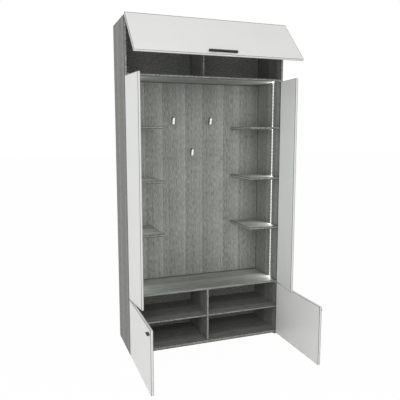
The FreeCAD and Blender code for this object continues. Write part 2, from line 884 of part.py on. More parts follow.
def hinge_leaf(name, centre, way, depth, knuckles, seat):
    """One leaf of a flap hinge about its axis: a flat plate, its knuckles and the webs between them."""
    y, z = seat
    half_barrel = "(barrel_diameter / 2)"
    near = f"({half_barrel} + knuckle_gap)"
    plate_y = f"{y} + {near}" if way > 0 else f"{y} - {near} - {depth}"
    plate_z = f"{z} - {HINGE_RISE}"
    plate = box(
        "LeafPlate",
        (f"{centre} - hinge_length / 2", plate_y, plate_z),
        ("hinge_length", depth, "leaf_thickness"),
    )
    parts = [plate]
    for start, length in knuckles:
        x = f"{centre} + {start}"
        parts.append(cylinder("Knuckle", "barrel_diameter", length, (x, y, z), "x"))
        web_y = y if way > 0 else f"{y} - {near}"
        parts.append(box("LeafWeb", (x, web_y, plate_z), (length, near, "leaf_thickness")))
    bore = cylinder(
        "KnuckleBore",
        "hinge_pin_diameter + 2 * running_fit",
        "hinge_length + 2 * overrun",
        (f"{centre} - hinge_length / 2 - overrun", y, z),
        "x",
    )
    return fuse(name, parts), bore, f"{plate_y} + {depth} / 2", f"{plate_z} + leaf_thickness"


def make_flap():
    """The lift-up front of the top box with its handle, hung on three friction hinges."""
    outer_knuckle = "((hinge_length - knuckle_length) / 2 - knuckle_gap / 2)"
    fixed_knuckles = (
        ("(-hinge_length / 2)", outer_knuckle),
        ("(knuckle_length / 2 + knuckle_gap / 2)", outer_knuckle),
    )
    moving_knuckles = (("(knuckle_gap / 2 - knuckle_length / 2)", "(knuckle_length - knuckle_gap)"),)
    axis_z = f"({TOP} + {HINGE_RISE})"
    for step in (-1, 0, 1):
        centre = f"({step} * ({INNER} - hinge_inset))"
        fixed_seat = (HINGE_Y, axis_z)
        leaves = (
            ("flap_hinge_fixed_leaves", 1, "fixed_leaf_depth", fixed_knuckles, fixed_seat, "top_panel"),
            ("flap_hinge_moving_leaves", -1, "moving_leaf_depth", moving_knuckles, ("0", "0"), "flap"),
        )
        for group, way, depth, knuckles, seat, carrier in leaves:
            label = f"{group}_{step}".replace("-", "minus_")
            leaf, bore, screw_y, screw_z = hinge_leaf(label, centre, way, depth, knuckles, seat)
            screw_group = "carcass_screws" if carrier == "top_panel" else "flap_hinge_screws"
            for sign in (-1, 1):
                spot = (f"{centre} + {sign} * leaf_screw_spacing / 2", screw_y, screw_z)
                screw(screw_group, CARCASS_SCREW, "-z", spot, (label, carrier))
            groups[group].append(drilled(f"{label}_leaf", leaf, holes[label] + [bore]))
        pin_start = (f"{centre} - hinge_length / 2", HINGE_Y, axis_z)
        groups["flap_hinge_pins"].append(
            cylinder("HingePin", "hinge_pin_diameter", "hinge_length", pin_start, "x")
        )
    flap_width = "(carcass_width - 2 * side_reveal)"
    back_y = "(-front_gap / 2)"
    low_z = f"(-{HINGE_RISE} - {FLAP_HEIGHT})"
    bar_z = f"({low_z} + handle_rise)"
    bar = rounded_block(
        "flap_handle",
        ("-handle_length / 2", f"{back_y} - front_thickness - handle_reach", bar_z),
        ("handle_length", "handle_reach", "handle_height"),
        "handle_round",
        FRONT_FACE,
    )
    for sign in (-1, 1):
        spot = (f"{sign} * handle_screw_spacing / 2", back_y, f"{bar_z} + handle_height / 2")
        screw("flap_handle_screws", HANDLE_SCREW, "-y", spot, ("flap", "flap_handle"))
    keep("flap_handle", drilled("flap_handle_cut", bar, holes["flap_handle"]))
    board(
        "flap",
        (f"-{flap_width} / 2", f"{back_y} - front_thickness", low_z),
        (flap_width, "front_thickness", FLAP_HEIGHT),
        ALL_EDGES,
    )
    for group in ("flap_hinge_moving_leaves", "flap_hinge_screws", "flap_handle_screws"):
        keep(group, compound(f"{group}_set", groups.pop(group)))
        lift(pieces[group])
    for label in ("flap", "flap_handle"):
        lift(pieces[label])


def make_boards():
    """All fixed boards, once every joint has said which holes they need."""
    for side_name, side in SIDES.items():
        x = INNER if side > 0 else f"-{HALF}"
        panel_size = ("board", "carcass_depth", "carcass_height")
        board(panel_label(side_name), (x, FRONT, "glide_height"), panel_size)
        shelf_x = "board / 2" if side > 0 else f"-{INNER}"
        board(
            f"{side_name}_shoe_shelf",
            (shelf_x, FRONT, "shoe_shelf_level"),
            (f"{INNER} - board / 2", BOARD_DEPTH, "board"),
        )
        corner_x = f"{INNER} - corner_shelf_length" if side > 0 else f"-{INNER}"
        for step_name, share in zip(CORNER_SHELF_NAMES, CORNER_SHELF_SHARES):
            board(
                f"{side_name}_{step_name}_shelf",
                (corner_x, FRONT, shelf_level(share)),
                ("corner_shelf_length", "carcass_depth - back_thickness", "board"),
            )
    levels = (
        ("top_panel", TOP_PANEL_LEVEL, "board"),
        ("top_box_floor", BOX_FLOOR, "board"),
        ("bench_seat", "bench_level", "board"),
        ("bottom_panel", "glide_height", "bottom_thickness"),
    )
    for label, level, thickness in levels:
        board(label, (f"-{INNER}", FRONT, level), (INNER_WIDTH, BOARD_DEPTH, thickness))
    board(
        "top_box_divider",
        ("-board / 2", f"{FRONT} + box_divider_setback", f"{BOX_FLOOR} + board"),
        ("board", f"{BOARD_DEPTH} - box_divider_setback", "top_box_height - 2 * board"),
    )
    board(
        "shoe_divider",
        ("-board / 2", FRONT, BOTTOM_TOP),
        ("board", BOARD_DEPTH, f"bench_level - {BOTTOM_TOP}"),
    )


def make_backs():
    """The middle back panel and the two thin sheets, flush at the rear."""
    rows = (
        ("middle_back_panel", "back_thickness", BENCH_TOP, NICHE_HEIGHT),
        ("top_back_sheet", "sheet_thickness", BOX_FLOOR, "top_box_height"),
        ("lower_back_sheet", "sheet_thickness", "glide_height", f"{BENCH_TOP} - glide_height"),
    )
    for label, thickness, level, height in rows:
        blank = box(label, (f"-{INNER}", f"{BACK} - {thickness}", level), (INNER_WIDTH, thickness, height))
        keep(label, drilled(f"{label}_cut", blank, holes[label]))


def check_document():
    """Stop if any object failed or any sub-part has no valid solid."""
    for item in doc.Objects:
        if {"Invalid", "Error"} & set(item.State):
            raise RuntimeError(f"{item.Name} ({item.Label}) failed: {item.State}")
    for label, item in pieces.items():
        if item.Shape.isNull() or not item.Shape.isValid() or not item.Shape.Solids:
            raise RuntimeError(f"{label} has no valid solid")


def write_parts():
    """Write every sub-part to its own file."""
    os.makedirs("parts", exist_ok=True)
    for label, item in pieces.items():
        item.Shape.exportStep(os.path.join("parts", f"{label}.step"))
    solids = sum(len(item.Shape.Solids) for item in pieces.values())
    print(f"{len(pieces)} sub-parts, {solids} solids")


def main():
    """Build the joints and fittings first, then the boards that they are drilled into."""
    fill_sheet()
    join_level_boards()
    join_dividers()
    join_shelves()
    join_backs()
    make_glides()
    make_wall_brackets()
    make_hooks()
    make_lights()
    make_driver()
    make_pivot_plates()
    make_doors()
    make_flap()
    make_boards()
    make_backs()
    for label in list(groups):
        keep(label, compound(f"{label}_set", groups[label]))
    doc.recompute()
    check_document()
    write_parts()


main()
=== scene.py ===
"""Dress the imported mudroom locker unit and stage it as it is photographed."""

import logging
import math
from collections.abc import Iterator, Sequence
from dataclasses import dataclass, replace
from enum import Enum
from functools import reduce

import bmesh
import bpy
import numpy as np
from mathutils import Euler, Matrix, Vector


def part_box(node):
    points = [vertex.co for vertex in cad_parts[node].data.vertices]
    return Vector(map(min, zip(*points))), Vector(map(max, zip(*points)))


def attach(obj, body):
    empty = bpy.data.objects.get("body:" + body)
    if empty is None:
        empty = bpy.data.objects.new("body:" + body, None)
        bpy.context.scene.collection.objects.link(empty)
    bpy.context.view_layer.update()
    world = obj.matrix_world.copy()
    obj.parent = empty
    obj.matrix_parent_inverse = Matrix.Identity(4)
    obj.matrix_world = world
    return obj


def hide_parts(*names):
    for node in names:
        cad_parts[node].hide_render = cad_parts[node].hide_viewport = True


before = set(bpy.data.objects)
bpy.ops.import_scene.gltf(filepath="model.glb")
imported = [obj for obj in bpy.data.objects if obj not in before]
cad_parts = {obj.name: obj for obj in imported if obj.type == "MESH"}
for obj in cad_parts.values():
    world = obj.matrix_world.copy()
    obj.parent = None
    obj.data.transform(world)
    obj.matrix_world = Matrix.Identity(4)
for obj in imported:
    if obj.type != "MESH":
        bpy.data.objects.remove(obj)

LOG = logging.getLogger("locker")
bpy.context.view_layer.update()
SMOOTH_ANGLE = math.radians(35)
WELD_DISTANCE = 1e-6
EDGE_FACETS = 2
ROUND_PROFILE = 0.5

Triple = tuple[float, float, float]
Colour = Triple
Socket = bpy.types.NodeSocket
Outputs = bpy.types.NodeOutputs
Feed = float | Sequence[float] | Socket
Feeds = dict[int | str, Feed]

RIGHTWARD: Triple = (1.0, 0.0, 0.0)
REARWARD: Triple = (0.0, 1.0, 0.0)
FORWARD: Triple = (0.0, -1.0, 0.0)
UPWARD: Triple = (0.0, 0.0, 1.0)
BLACK: Colour = (0.0, 0.0, 0.0)
WHITE: Colour = (1.0, 1.0, 1.0)


class Grain(Enum):
    """Way in which a board's wood grain runs."""

    UPRIGHT = "upright"
    ACROSS = "across"


class Side(Enum):
    """Side of the unit, as the sign of its x."""

    LEFT = -1
    RIGHT = 1


class NodeSheet:
    """Adds nodes to one tree and links them."""

    def __init__(self, tree: bpy.types.NodeTree) -> None:
        """Work on the node tree of a material, a world or a group."""
        self.tree = tree

    @classmethod
    def blank(cls, owner: bpy.types.Material | bpy.types.World) -> "NodeSheet":
        """Clear the nodes of a material or a world.

        Args:
            owner: What the nodes belong to.

        Returns:
            The empty sheet.
        """
        owner.use_nodes = True
        owner.node_tree.nodes.clear()
        return cls(owner.node_tree)

    def put(self, kind: str, feeds: Feeds | None = None, **settings: object) -> bpy.types.Node:
        """Add a node, set it up and feed its inputs.

        Args:
            kind: Blender's name of the node type.
            feeds: Values or sockets for the inputs, by name or number.
            **settings: Properties of the node itself.

        Returns:
            The new node.
        """
        node = self.tree.nodes.new(kind)
        for key, value in settings.items():
            setattr(node, key, value)
        for key, value in (feeds or {}).items():
            if isinstance(value, bpy.types.NodeSocket):
                self.link(value, node, key)
            else:
                node.inputs[key].default_value = value
        return node

    def link(self, source: Socket, node: bpy.types.Node, key: int | str) -> None:
        """Link a socket to a node's input."""
        self.tree.links.new(source, node.inputs[key])

    def math(self, operation: str, first: Feed, second: Feed = 0.0, clamp: bool = False) -> Socket:
        """Work out one number from two, kept between 0 and 1 where it is clamped."""
        node = self.put("ShaderNodeMath", {0: first, 1: second}, operation=operation, use_clamp=clamp)
        return node.outputs[0]

    def total(self, *values: Feed) -> Socket:
        """Add up numbers from the first to the last."""
        return reduce(lambda so_far, value: self.math("ADD", so_far, value), values)

    def spread(self, value: Socket, middle: float, contrast: Feed) -> Socket:
        """Multiply a number's distance from a middle."""
        return self.math("MULTIPLY", self.math("SUBTRACT", value, middle), contrast)

    def weigh(self, first: Socket, second: Socket, share: float) -> Socket:
        """Mix two numbers by the first one's share."""
        return self.total(self.math("MULTIPLY", first, share), self.math("MULTIPLY", second, 1.0 - share))

    def vector(self, operation: str, first: Feed, second: Feed = (0.0, 0.0, 0.0)) -> Socket:
        """Work out one vector from two."""
        return self.put("ShaderNodeVectorMath", {0: first, 1: second}, operation=operation).outputs[0]

    def dot(self, first: Feed, second: Feed) -> Socket:
        """Dot product of two vectors."""
        node = self.put("ShaderNodeVectorMath", {0: first, 1: second}, operation="DOT_PRODUCT")
        return node.outputs["Value"]

    def split(self, coords: Socket) -> Outputs:
        """Coordinates as x, y and z."""
        return self.put("ShaderNodeSeparateXYZ", {0: coords}).outputs

    def join(self, x: Feed, y: Feed, z: Feed) -> Socket:
        """Coordinates from x, y and z."""
        return self.put("ShaderNodeCombineXYZ", {0: x, 1: y, 2: z}).outputs[0]

    def noise(self, coords: Socket, scale: Feed, detail: float = 2.0, roughness: float = 0.55) -> Socket:
        """Sample smooth noise from 0 to 1, at a scale in waves per metre."""
        feeds = {"Vector": coords, "Scale": scale, "Detail": detail, "Roughness": roughness}
        return self.put("ShaderNodeTexNoise", feeds).outputs[0]

    def blend(self, factor: Feed, first: Feed, second: Feed) -> Socket:
        """Mix two colours, where the factor is the second one's share."""
        feeds = {0: factor, 6: rgba(first), 7: rgba(second)}
        return self.put("ShaderNodeMix", feeds, data_type="RGBA").outputs[2]

    def remap(self, value: Socket, low: float, high: float, start: float = 0.0, end: float = 1.0) -> Socket:
        """Map the numbers from low to high onto those from start to end, clamped."""
        feeds = {"Value": value, "From Min": low, "From Max": high, "To Min": start, "To Max": end}
        return self.put("ShaderNodeMapRange", feeds).outputs[0]

    def bump(self, height: Socket, strength: float, depth: float) -> Socket:
        """Turn heights from 0 to 1 into a normal, with a depth in metres."""
        feeds = {"Height": height, "Strength": strength, "Distance": depth}
        return self.put("ShaderNodeBump", feeds).outputs[0]

    def object_coords(self) -> Socket:
        """Coordinates on the piece, in metres."""
        return self.put("ShaderNodeTexCoord").outputs["Object"]

    def share_coords(self) -> Socket:
        """Coordinates on the piece, as shares of its box."""
        return self.put("ShaderNodeTexCoord").outputs["Generated"]

    def object_normal(self) -> Socket:
        """Normal on the piece, in its own frame."""
        return self.put("ShaderNodeTexCoord").outputs["Normal"]


def rgba(colour: Feed) -> Feed:
    """Give a colour the fourth number that colour sockets take.

    Args:
        colour: Colour of three numbers, or its socket.

    Returns:
        Colour of four numbers, or the same socket.
    """
    if isinstance(colour, bpy.types.NodeSocket):
        return colour
    return (*colour, 1.0)


class SharedGroup:
    """A shader node group that is built once and placed in several materials."""

    title: str = ""
    inputs: tuple[tuple[str, str], ...] = ()
    outputs: tuple[tuple[str, str], ...] = ()

    @classmethod
    def tree(cls) -> bpy.types.NodeTree:
        """Build the group on first use.

        Returns:
            The group's tree.
        """
        if cls.title not in bpy.data.node_groups:
            made = bpy.data.node_groups.new(cls.title, "ShaderNodeTree")
            for way, sockets in (("INPUT", cls.inputs), ("OUTPUT", cls.outputs)):
                for name, kind in sockets:
                    made.interface.new_socket(name, in_out=way, socket_type=f"NodeSocket{kind}")
            sheet = NodeSheet(made)
            source = sheet.put("NodeGroupInput")
            sink = sheet.put("NodeGroupOutput")
            for name, socket in cls.fill(sheet, source.outputs).items():
                sheet.link(socket, sink, name)
        return bpy.data.node_groups[cls.title]

    @classmethod
    def place(cls, sheet: NodeSheet, feeds: Feeds) -> Outputs:
        """Put the group into a material.

        Args:
            sheet: The material's nodes.
            feeds: Values or sockets for the group's inputs.

        Returns:
            The group's outputs.
        """
        kinds = dict(cls.inputs)
        ready = {name: rgba(feed) if kinds[name] == "Color" else feed for name, feed in feeds.items()}
        return sheet.put("ShaderNodeGroup", ready, node_tree=cls.tree()).outputs

    @classmethod
    def fill(cls, sheet: NodeSheet, source: Outputs) -> dict[str, Socket]:
        """Build the nodes between the group's inputs and outputs."""
        raise NotImplementedError


@dataclass(frozen=True)
class GrainLayer:
    """A noise that is drawn out along the grain.

    Attributes:
        scale: Waves per metre across the grain.
        drawn: Waves along the grain, as a share of those across it.
        detail: Octaves of finer noise.
        roughness: Share of each finer octave.
    """

    scale: float
    drawn: float
    detail: float = 1.0
    roughness: float = 0.6

    def lay(self, sheet: NodeSheet, coords: Socket) -> Socket:
        """Sample the layer, with the grain along Z."""
        drawn = sheet.vector("MULTIPLY", coords, (1.0, 1.0, self.drawn))
        return sheet.noise(drawn, self.scale, self.detail, self.roughness)


class WoodGrain(SharedGroup):
    """Printed wood grain along Z: planks in pairs, long lines, short streaks, fibres and pores.

    Widths and places are in metres; shares, tones, heights and ranges are plain numbers.
    """

    title = "wood_grain"
    inputs = (
        ("Coords", "Vector"),
        ("Stretch", "Float"),
        ("Lines", "Float"),
        ("Streaks", "Float"),
        ("Planks", "Float"),
        ("Dark", "Color"),
        ("Light", "Color"),
    )
    outputs = (("Color", "Color"), ("Height", "Float"), ("Roughness", "Float"))

    PAIR_WIDTH = 0.303
    FIRST_SHARE = 0.426
    FIRST_START = -0.188
    PLANK_CURVE = 2.0
    PLANK_MEAN = 0.33
    LINE = GrainLayer(150.0, 0.005)
    STREAK = GrainLayer(170.0, 0.6)
    FIBRE = GrainLayer(560.0, 0.15, detail=2.0)
    PORE = GrainLayer(1100.0, 0.35, detail=0.0)
    NOISE_MEAN = 0.5
    FIBRE_TONE = 0.8
    FIBRE_HEIGHT = 0.5
    PORE_RANGE = (0.60, 0.72)
    PORE_TONE = 0.2
    PORE_DEPTH = 0.6
    MEAN_TONE = 0.52
    LINE_RANGE = (0.3, 0.7)
    ROUGHNESS = (0.52, 0.66)

    @classmethod
    def plank_tone(cls, sheet: NodeSheet, across: Socket) -> Socket:
        """Tone that rises over each printed plank and drops at its end.

        Args:
            sheet: The group's nodes.
            across: Distance across the grain.

        Returns:
            Tone from 0 to 1.
        """
        from_start = sheet.math("SUBTRACT", across, cls.FIRST_START)
        pair = sheet.math("FRACT", sheet.math("DIVIDE", from_start, cls.PAIR_WIDTH))
        first = sheet.math("DIVIDE", pair, cls.FIRST_SHARE)
        second = sheet.math("DIVIDE", sheet.math("SUBTRACT", pair, cls.FIRST_SHARE), 1.0 - cls.FIRST_SHARE)
        in_second = sheet.math("GREATER_THAN", pair, cls.FIRST_SHARE)
        gap = sheet.math("MULTIPLY", sheet.math("SUBTRACT", second, first), in_second)
        return sheet.math("POWER", sheet.math("ADD", first, gap, clamp=True), cls.PLANK_CURVE)

    @classmethod
    def fill(cls, sheet: NodeSheet, source: Outputs) -> dict[str, Socket]:
        """Add up noises that are drawn out along the grain, and the planks.

        Args:
            sheet: The group's nodes.
            source: The group's inputs.

        Returns:
            Sockets for the group's outputs.
        """
        x, y, z = sheet.split(source["Coords"])
        drawn = sheet.join(x, y, sheet.math("MULTIPLY", z, source["Stretch"]))
        line = cls.LINE.lay(sheet, source["Coords"])
        streak, fibre, pore = (layer.lay(sheet, drawn) for layer in (cls.STREAK, cls.FIBRE, cls.PORE))
        pores = sheet.remap(pore, *cls.PORE_RANGE)
        planks = cls.plank_tone(sheet, sheet.math("ADD", x, y))
        print_tone = sheet.total(
            sheet.spread(line, cls.NOISE_MEAN, source["Lines"]),
            sheet.spread(streak, cls.NOISE_MEAN, source["Streaks"]),
            sheet.spread(fibre, cls.NOISE_MEAN, cls.FIBRE_TONE),
            sheet.spread(planks, cls.PLANK_MEAN, source["Planks"]),
            cls.MEAN_TONE,
        )
        tone = sheet.math("SUBTRACT", print_tone, sheet.math("MULTIPLY", pores, cls.PORE_TONE), clamp=True)
        raised = sheet.math("MULTIPLY", fibre, cls.FIBRE_HEIGHT)
        return {
            "Color": sheet.blend(tone, source["Dark"], source["Light"]),
            "Height": sheet.math("SUBTRACT", raised, sheet.math("MULTIPLY", pores, cls.PORE_DEPTH)),
            "Roughness": sheet.remap(line, *cls.LINE_RANGE, *cls.ROUGHNESS),
        }


class Flecks(SharedGroup):
    """Mottled light and dark flecks, as on edge banding and particle board."""

    title = "flecks"
    inputs = (("Coords", "Vector"), ("Scale", "Float"), ("Dark", "Color"), ("Light", "Color"))
    outputs = (("Color", "Color"), ("Height", "Float"))

    FINER = 3.7
    FLECK_RANGE = (0.40, 0.62)
    FLECK_SHARE = 0.7

    @classmethod
    def fill(cls, sheet: NodeSheet, source: Outputs) -> dict[str, Socket]:
        """Sharpen a noise into flecks and soften them with a finer one.

        Args:
            sheet: The group's nodes.
            source: The group's inputs.

        Returns:
            Sockets for the group's outputs.
        """
        coarse = sheet.noise(source["Coords"], source["Scale"], 1.0)
        finer = sheet.noise(source["Coords"], sheet.math("MULTIPLY", source["Scale"], cls.FINER))
        tone = sheet.weigh(sheet.remap(coarse, *cls.FLECK_RANGE), finer, cls.FLECK_SHARE)
        return {"Color": sheet.blend(tone, source["Dark"], source["Light"]), "Height": finer}


class HandMarks(SharedGroup):
    """Soft patches of handling: a little tone and a change of gloss."""

    title = "hand_marks"
    inputs = (("Coords", "Vector"), ("Color", "Color"), ("Tone", "Float"), ("Gloss", "Float"))
    outputs = (("Color", "Color"), ("Roughness", "Float"))

    OCTAVES = 3.0
    PATCH_SCALE = 5.0
    PATCH_RANGE = (0.35, 0.75)
    RUB_SCALE = 46.0
    RUB_ROUGHNESS = 0.6
    RUB_MEAN = 0.5
    RUB_GLOSS = 0.22

    @classmethod
    def fill(cls, sheet: NodeSheet, source: Outputs) -> dict[str, Socket]:
        """Lay large and small patches over the colour.

        Args:
            sheet: The group's nodes.
            source: The group's inputs.

        Returns:
            Sockets for the group's outputs.
        """
        patch = sheet.noise(source["Coords"], cls.PATCH_SCALE, cls.OCTAVES)
        shade = sheet.math("MULTIPLY", sheet.remap(patch, *cls.PATCH_RANGE), source["Tone"])
        rub = sheet.noise(source["Coords"], cls.RUB_SCALE, cls.OCTAVES, cls.RUB_ROUGHNESS)
        change = sheet.spread(rub, cls.RUB_MEAN, cls.RUB_GLOSS)
        return {
            "Color": sheet.blend(shade, source["Color"], BLACK),
            "Roughness": sheet.math("ADD", source["Gloss"], change, clamp=True),
        }


class FineRelief(SharedGroup):
    """Fine relief of a moulded, coated or pressed skin."""

    title = "fine_relief"
    inputs = (("Coords", "Vector"), ("Scale", "Float"))
    outputs = (("Height", "Float"),)

    SHARPER = 4.0
    SOFT_SHARE = 0.7

    @classmethod
    def fill(cls, sheet: NodeSheet, source: Outputs) -> dict[str, Socket]:
        """Add a soft and a sharp noise.

        Args:
            sheet: The group's nodes.
            source: The group's inputs.

        Returns:
            Sockets for the group's outputs.
        """
        soft = sheet.noise(source["Coords"], source["Scale"], 1.0)
        sharp = sheet.noise(source["Coords"], sheet.math("MULTIPLY", source["Scale"], cls.SHARPER), 1.0)
        return {"Height": sheet.weigh(soft, sharp, cls.SOFT_SHARE)}


class FacingMask(SharedGroup):
    """Mask of the faces that look one way."""

    title = "facing_mask"
    inputs = (("Normal", "Vector"), ("Way", "Vector"))
    outputs = (("Mask", "Float"),)

    COSINE_RANGE = (0.80, 0.92)

    @classmethod
    def fill(cls, sheet: NodeSheet, source: Outputs) -> dict[str, Socket]:
        """Compare the normal with the way."""
        return {"Mask": sheet.remap(sheet.dot(source["Normal"], source["Way"]), *cls.COSINE_RANGE)}


class EdgeJointShade(SharedGroup):
    """Masks of a board's edge banding and of the thin strip along its arrises that gets painted shade."""

    title = "edge_joint_shade"
    inputs = (("Coords", "Vector"), ("Half", "Vector"), ("Line", "Float"))
    outputs = (("Joint", "Float"), ("Band", "Float"))

    BAND_DEPTH = 0.0006

    @classmethod
    def fill(cls, sheet: NodeSheet, source: Outputs) -> dict[str, Socket]:
        """Sort the points by their distance from the border and from the arrises.

        Args:
            sheet: The group's nodes.
            source: The group's inputs, with half of the board's size in x, y and z.

        Returns:
            Sockets for the group's outputs.
        """
        inward = sheet.vector("SUBTRACT", source["Half"], sheet.vector("ABSOLUTE", source["Coords"]))
        beside, behind, above = sheet.split(inward)
        border = sheet.math("MINIMUM", beside, above)
        arris = sheet.math("MAXIMUM", border, behind)
        # Joint marks the strip of painted shade along the arrises; Band marks the edge banding.
        return {
            "Joint": sheet.math("LESS_THAN", arris, source["Line"]),
            "Band": sheet.math("LESS_THAN", border, cls.BAND_DEPTH),
        }


class GlueAndShadeLines(SharedGroup):
    """Mask of the dark lines where a strip of banding meets the board's two faces, partly glued seams and
    partly painted shade.
    """

    title = "glue_and_shade_lines"
    inputs = (("Coords", "Vector"), ("Way", "Vector"), ("Line Share", "Float"))
    outputs = (("Mask", "Float"),)

    @classmethod
    def fill(cls, sheet: NodeSheet, source: Outputs) -> dict[str, Socket]:
        """Mark the borders of the strip across its width.

        Args:
            sheet: The group's nodes.
            source: The group's inputs.

        Returns:
            Sockets for the group's outputs.
        """
        across = sheet.dot(source["Coords"], source["Way"])
        off_middle = sheet.math("ABSOLUTE", sheet.math("SUBTRACT", across, 0.5))
        border = sheet.math("SUBTRACT", 0.5, off_middle)
        return {"Mask": sheet.math("LESS_THAN", border, source["Line Share"])}


@dataclass(frozen=True)
class Finish:
    """A named finish that paints one material."""

    name: str

    def material(self) -> bpy.types.Material:
        """Make the finish's material on first use.

        Returns:
            The material.
        """
        if self.name not in bpy.data.materials:
            sheet = NodeSheet.blank(bpy.data.materials.new(self.name))
            shader = sheet.put("ShaderNodeBsdfPrincipled")
            sheet.put("ShaderNodeOutputMaterial", {"Surface": shader.outputs[0]})
            self.paint(sheet, shader)
        return bpy.data.materials[self.name]

    def paint(self, sheet: NodeSheet, shader: bpy.types.Node) -> None:
        """Build the nodes that feed the Principled shader."""
        raise NotImplementedError


@dataclass(frozen=True)
class Laminate(Finish):
    """Grey wood-grain laminate on particle board.

    Attributes:
        grain: Way in which the grain runs.
        dark: Darkest print colour.
        light: Lightest print colour.
        stretch: How far the short streaks are drawn out; smaller is longer.
        lines: Contrast of the long lines.
        streaks: Contrast of the short streaks.
        planks: Contrast of the printed planks.
        sheen: Specular level of the matt surface.
        relief: Strength of the pressed grain.
        relief_depth: Depth of the pressed grain.
        bare_rear: Whether the rear is left without laminate.
        rear_dark: Darkest colour of the bare rear.
        rear_light: Lightest colour of the bare rear.
        rear_scale: Flecks per metre on the bare rear.
    """

    grain: Grain = Grain.UPRIGHT
    dark: Colour = (0.091, 0.092, 0.085)
    light: Colour = (0.378, 0.383, 0.358)
    stretch: float = 0.3
    lines: float = 0.5
    streaks: float = 1.05
    planks: float = 0.24
    sheen: float = 0.3
    relief: float = 0.35
    relief_depth: float = 0.0003
    bare_rear: bool = True
    rear_dark: Colour = (0.16, 0.125, 0.085)
    rear_light: Colour = (0.52, 0.44, 0.33)
    rear_scale: float = 420.0

    def paint(self, sheet: NodeSheet, shader: bpy.types.Node) -> None:
        """Grain on every face, or on all but the bare rear.

        Args:
            sheet: The material's nodes.
            shader: The Principled shader.
        """
        coords = sheet.object_coords()
        if self.grain is Grain.ACROSS:
            x, y, z = sheet.split(coords)
            coords = sheet.join(z, y, x)
        feeds = {
            "Coords": coords,
            "Stretch": self.stretch,
            "Lines": self.lines,
            "Streaks": self.streaks,
            "Planks": self.planks,
            "Dark": self.dark,
            "Light": self.light,
        }
        wood = WoodGrain.place(sheet, feeds)
        colour = self.shade(sheet, wood["Color"])
        if self.bare_rear:
            colours = {"Dark": self.rear_dark, "Light": self.rear_light}
            chips = Flecks.place(sheet, {"Coords": coords, "Scale": self.rear_scale, **colours})["Color"]
            rear = FacingMask.place(sheet, {"Normal": sheet.object_normal(), "Way": REARWARD})["Mask"]
            colour = sheet.blend(rear, colour, chips)
        sheet.link(colour, shader, "Base Color")
        sheet.link(wood["Roughness"], shader, "Roughness")
        sheet.link(sheet.bump(wood["Height"], self.relief, self.relief_depth), shader, "Normal")
        shader.inputs["Specular IOR Level"].default_value = self.sheen

    def shade(self, sheet: NodeSheet, colour: Socket) -> Socket:
        """Colour of the print, where a board gets no painted shade."""
        return colour


@dataclass(frozen=True)
class JoinedLaminate(Laminate):
    """Laminate with painted shade in the corners where other boards meet its border.

    Attributes:
        centre: Middle of the area inside the painted shade.
        half: Half of the area's size.
        joint: Colour of the painted shade.
        joint_shade_line: Width of the painted shade.
    """

    centre: Triple = (0.0, 0.0, 0.0)
    half: Triple = (0.1, 0.0, 0.1)
    joint: Colour = (0.03, 0.03, 0.028)
    joint_shade_line: float = 0.003

    def shade(self, sheet: NodeSheet, colour: Socket) -> Socket:
        """Paint shade along the border.

        Args:
            sheet: The material's nodes.
            colour: Colour of the print.

        Returns:
            Colour of the print with the painted shade.
        """
        local = sheet.vector("SUBTRACT", sheet.object_coords(), self.centre)
        feeds = {"Coords": local, "Half": self.half, "Line": self.joint_shade_line}
        # Painted shade: a near-black line where other boards meet this one.
        return sheet.blend(EdgeJointShade.place(sheet, feeds)["Joint"], colour, self.joint)


@dataclass(frozen=True)
class SideLaminate(JoinedLaminate):
    """Laminate with painted shade along the arrises of a side panel's faces."""

    joint: Colour = (0.05, 0.05, 0.047)
    joint_shade_line: float = 0.005

    def shade(self, sheet: NodeSheet, colour: Socket) -> Socket:
        """Paint shade along the borders of the faces.

        Args:
            sheet: The material's nodes.
            colour: Colour of the print.

        Returns:
            Colour of the print with the painted shade.
        """
        local = sheet.vector("SUBTRACT", sheet.object_coords(), self.centre)
        parts = sheet.split(sheet.vector("ABSOLUTE", local))
        # Painted shade: a dark line along the front, rear, top and bottom of each face.
        borders = [sheet.math("GREATER_THAN", parts[way], self.half[way] - self.joint_shade_line) for way in (1, 2)]
        return sheet.blend(sheet.math("MAXIMUM", *borders), colour, self.joint)


@dataclass(frozen=True)
class NicheLaminate(Laminate):
    """Laminate with painted shade where the board meets the back and the side panels, and a dark line at a
    free end.

    Attributes:
        rear_start: Place from front to back where the painted shade at the rear starts.
        side_start: Distance from the middle where the painted shade at the sides starts.
        end_stop: Distance from the middle where the dark line of a free end stops.
        joint: Colour of the painted shade and of a free end's line.
    """

    rear_start: float = 0.0
    side_start: float = 0.0
    end_stop: float = -1.0
    joint: Colour = (0.03, 0.03, 0.028)

    def shade(self, sheet: NodeSheet, colour: Socket) -> Socket:
        """Paint shade on the borders that meet other boards, and darken a free end.

        Args:
            sheet: The material's nodes.
            colour: Colour of the print.

        Returns:
            Colour of the print with the painted shade.
        """
        parts = sheet.split(sheet.object_coords())
        rear = sheet.math("GREATER_THAN", parts[1], self.rear_start)
        aside = sheet.math("ABSOLUTE", parts[0])
        side = sheet.math("GREATER_THAN", aside, self.side_start)
        end = sheet.math("LESS_THAN", aside, self.end_stop)
        # Painted shade where the board meets the back and the side panels; the same dark line runs along a
        # free end.
        joints = sheet.math("MAXIMUM", rear, sheet.math("MAXIMUM", side, end))
        return sheet.blend(joints, colour, self.joint)


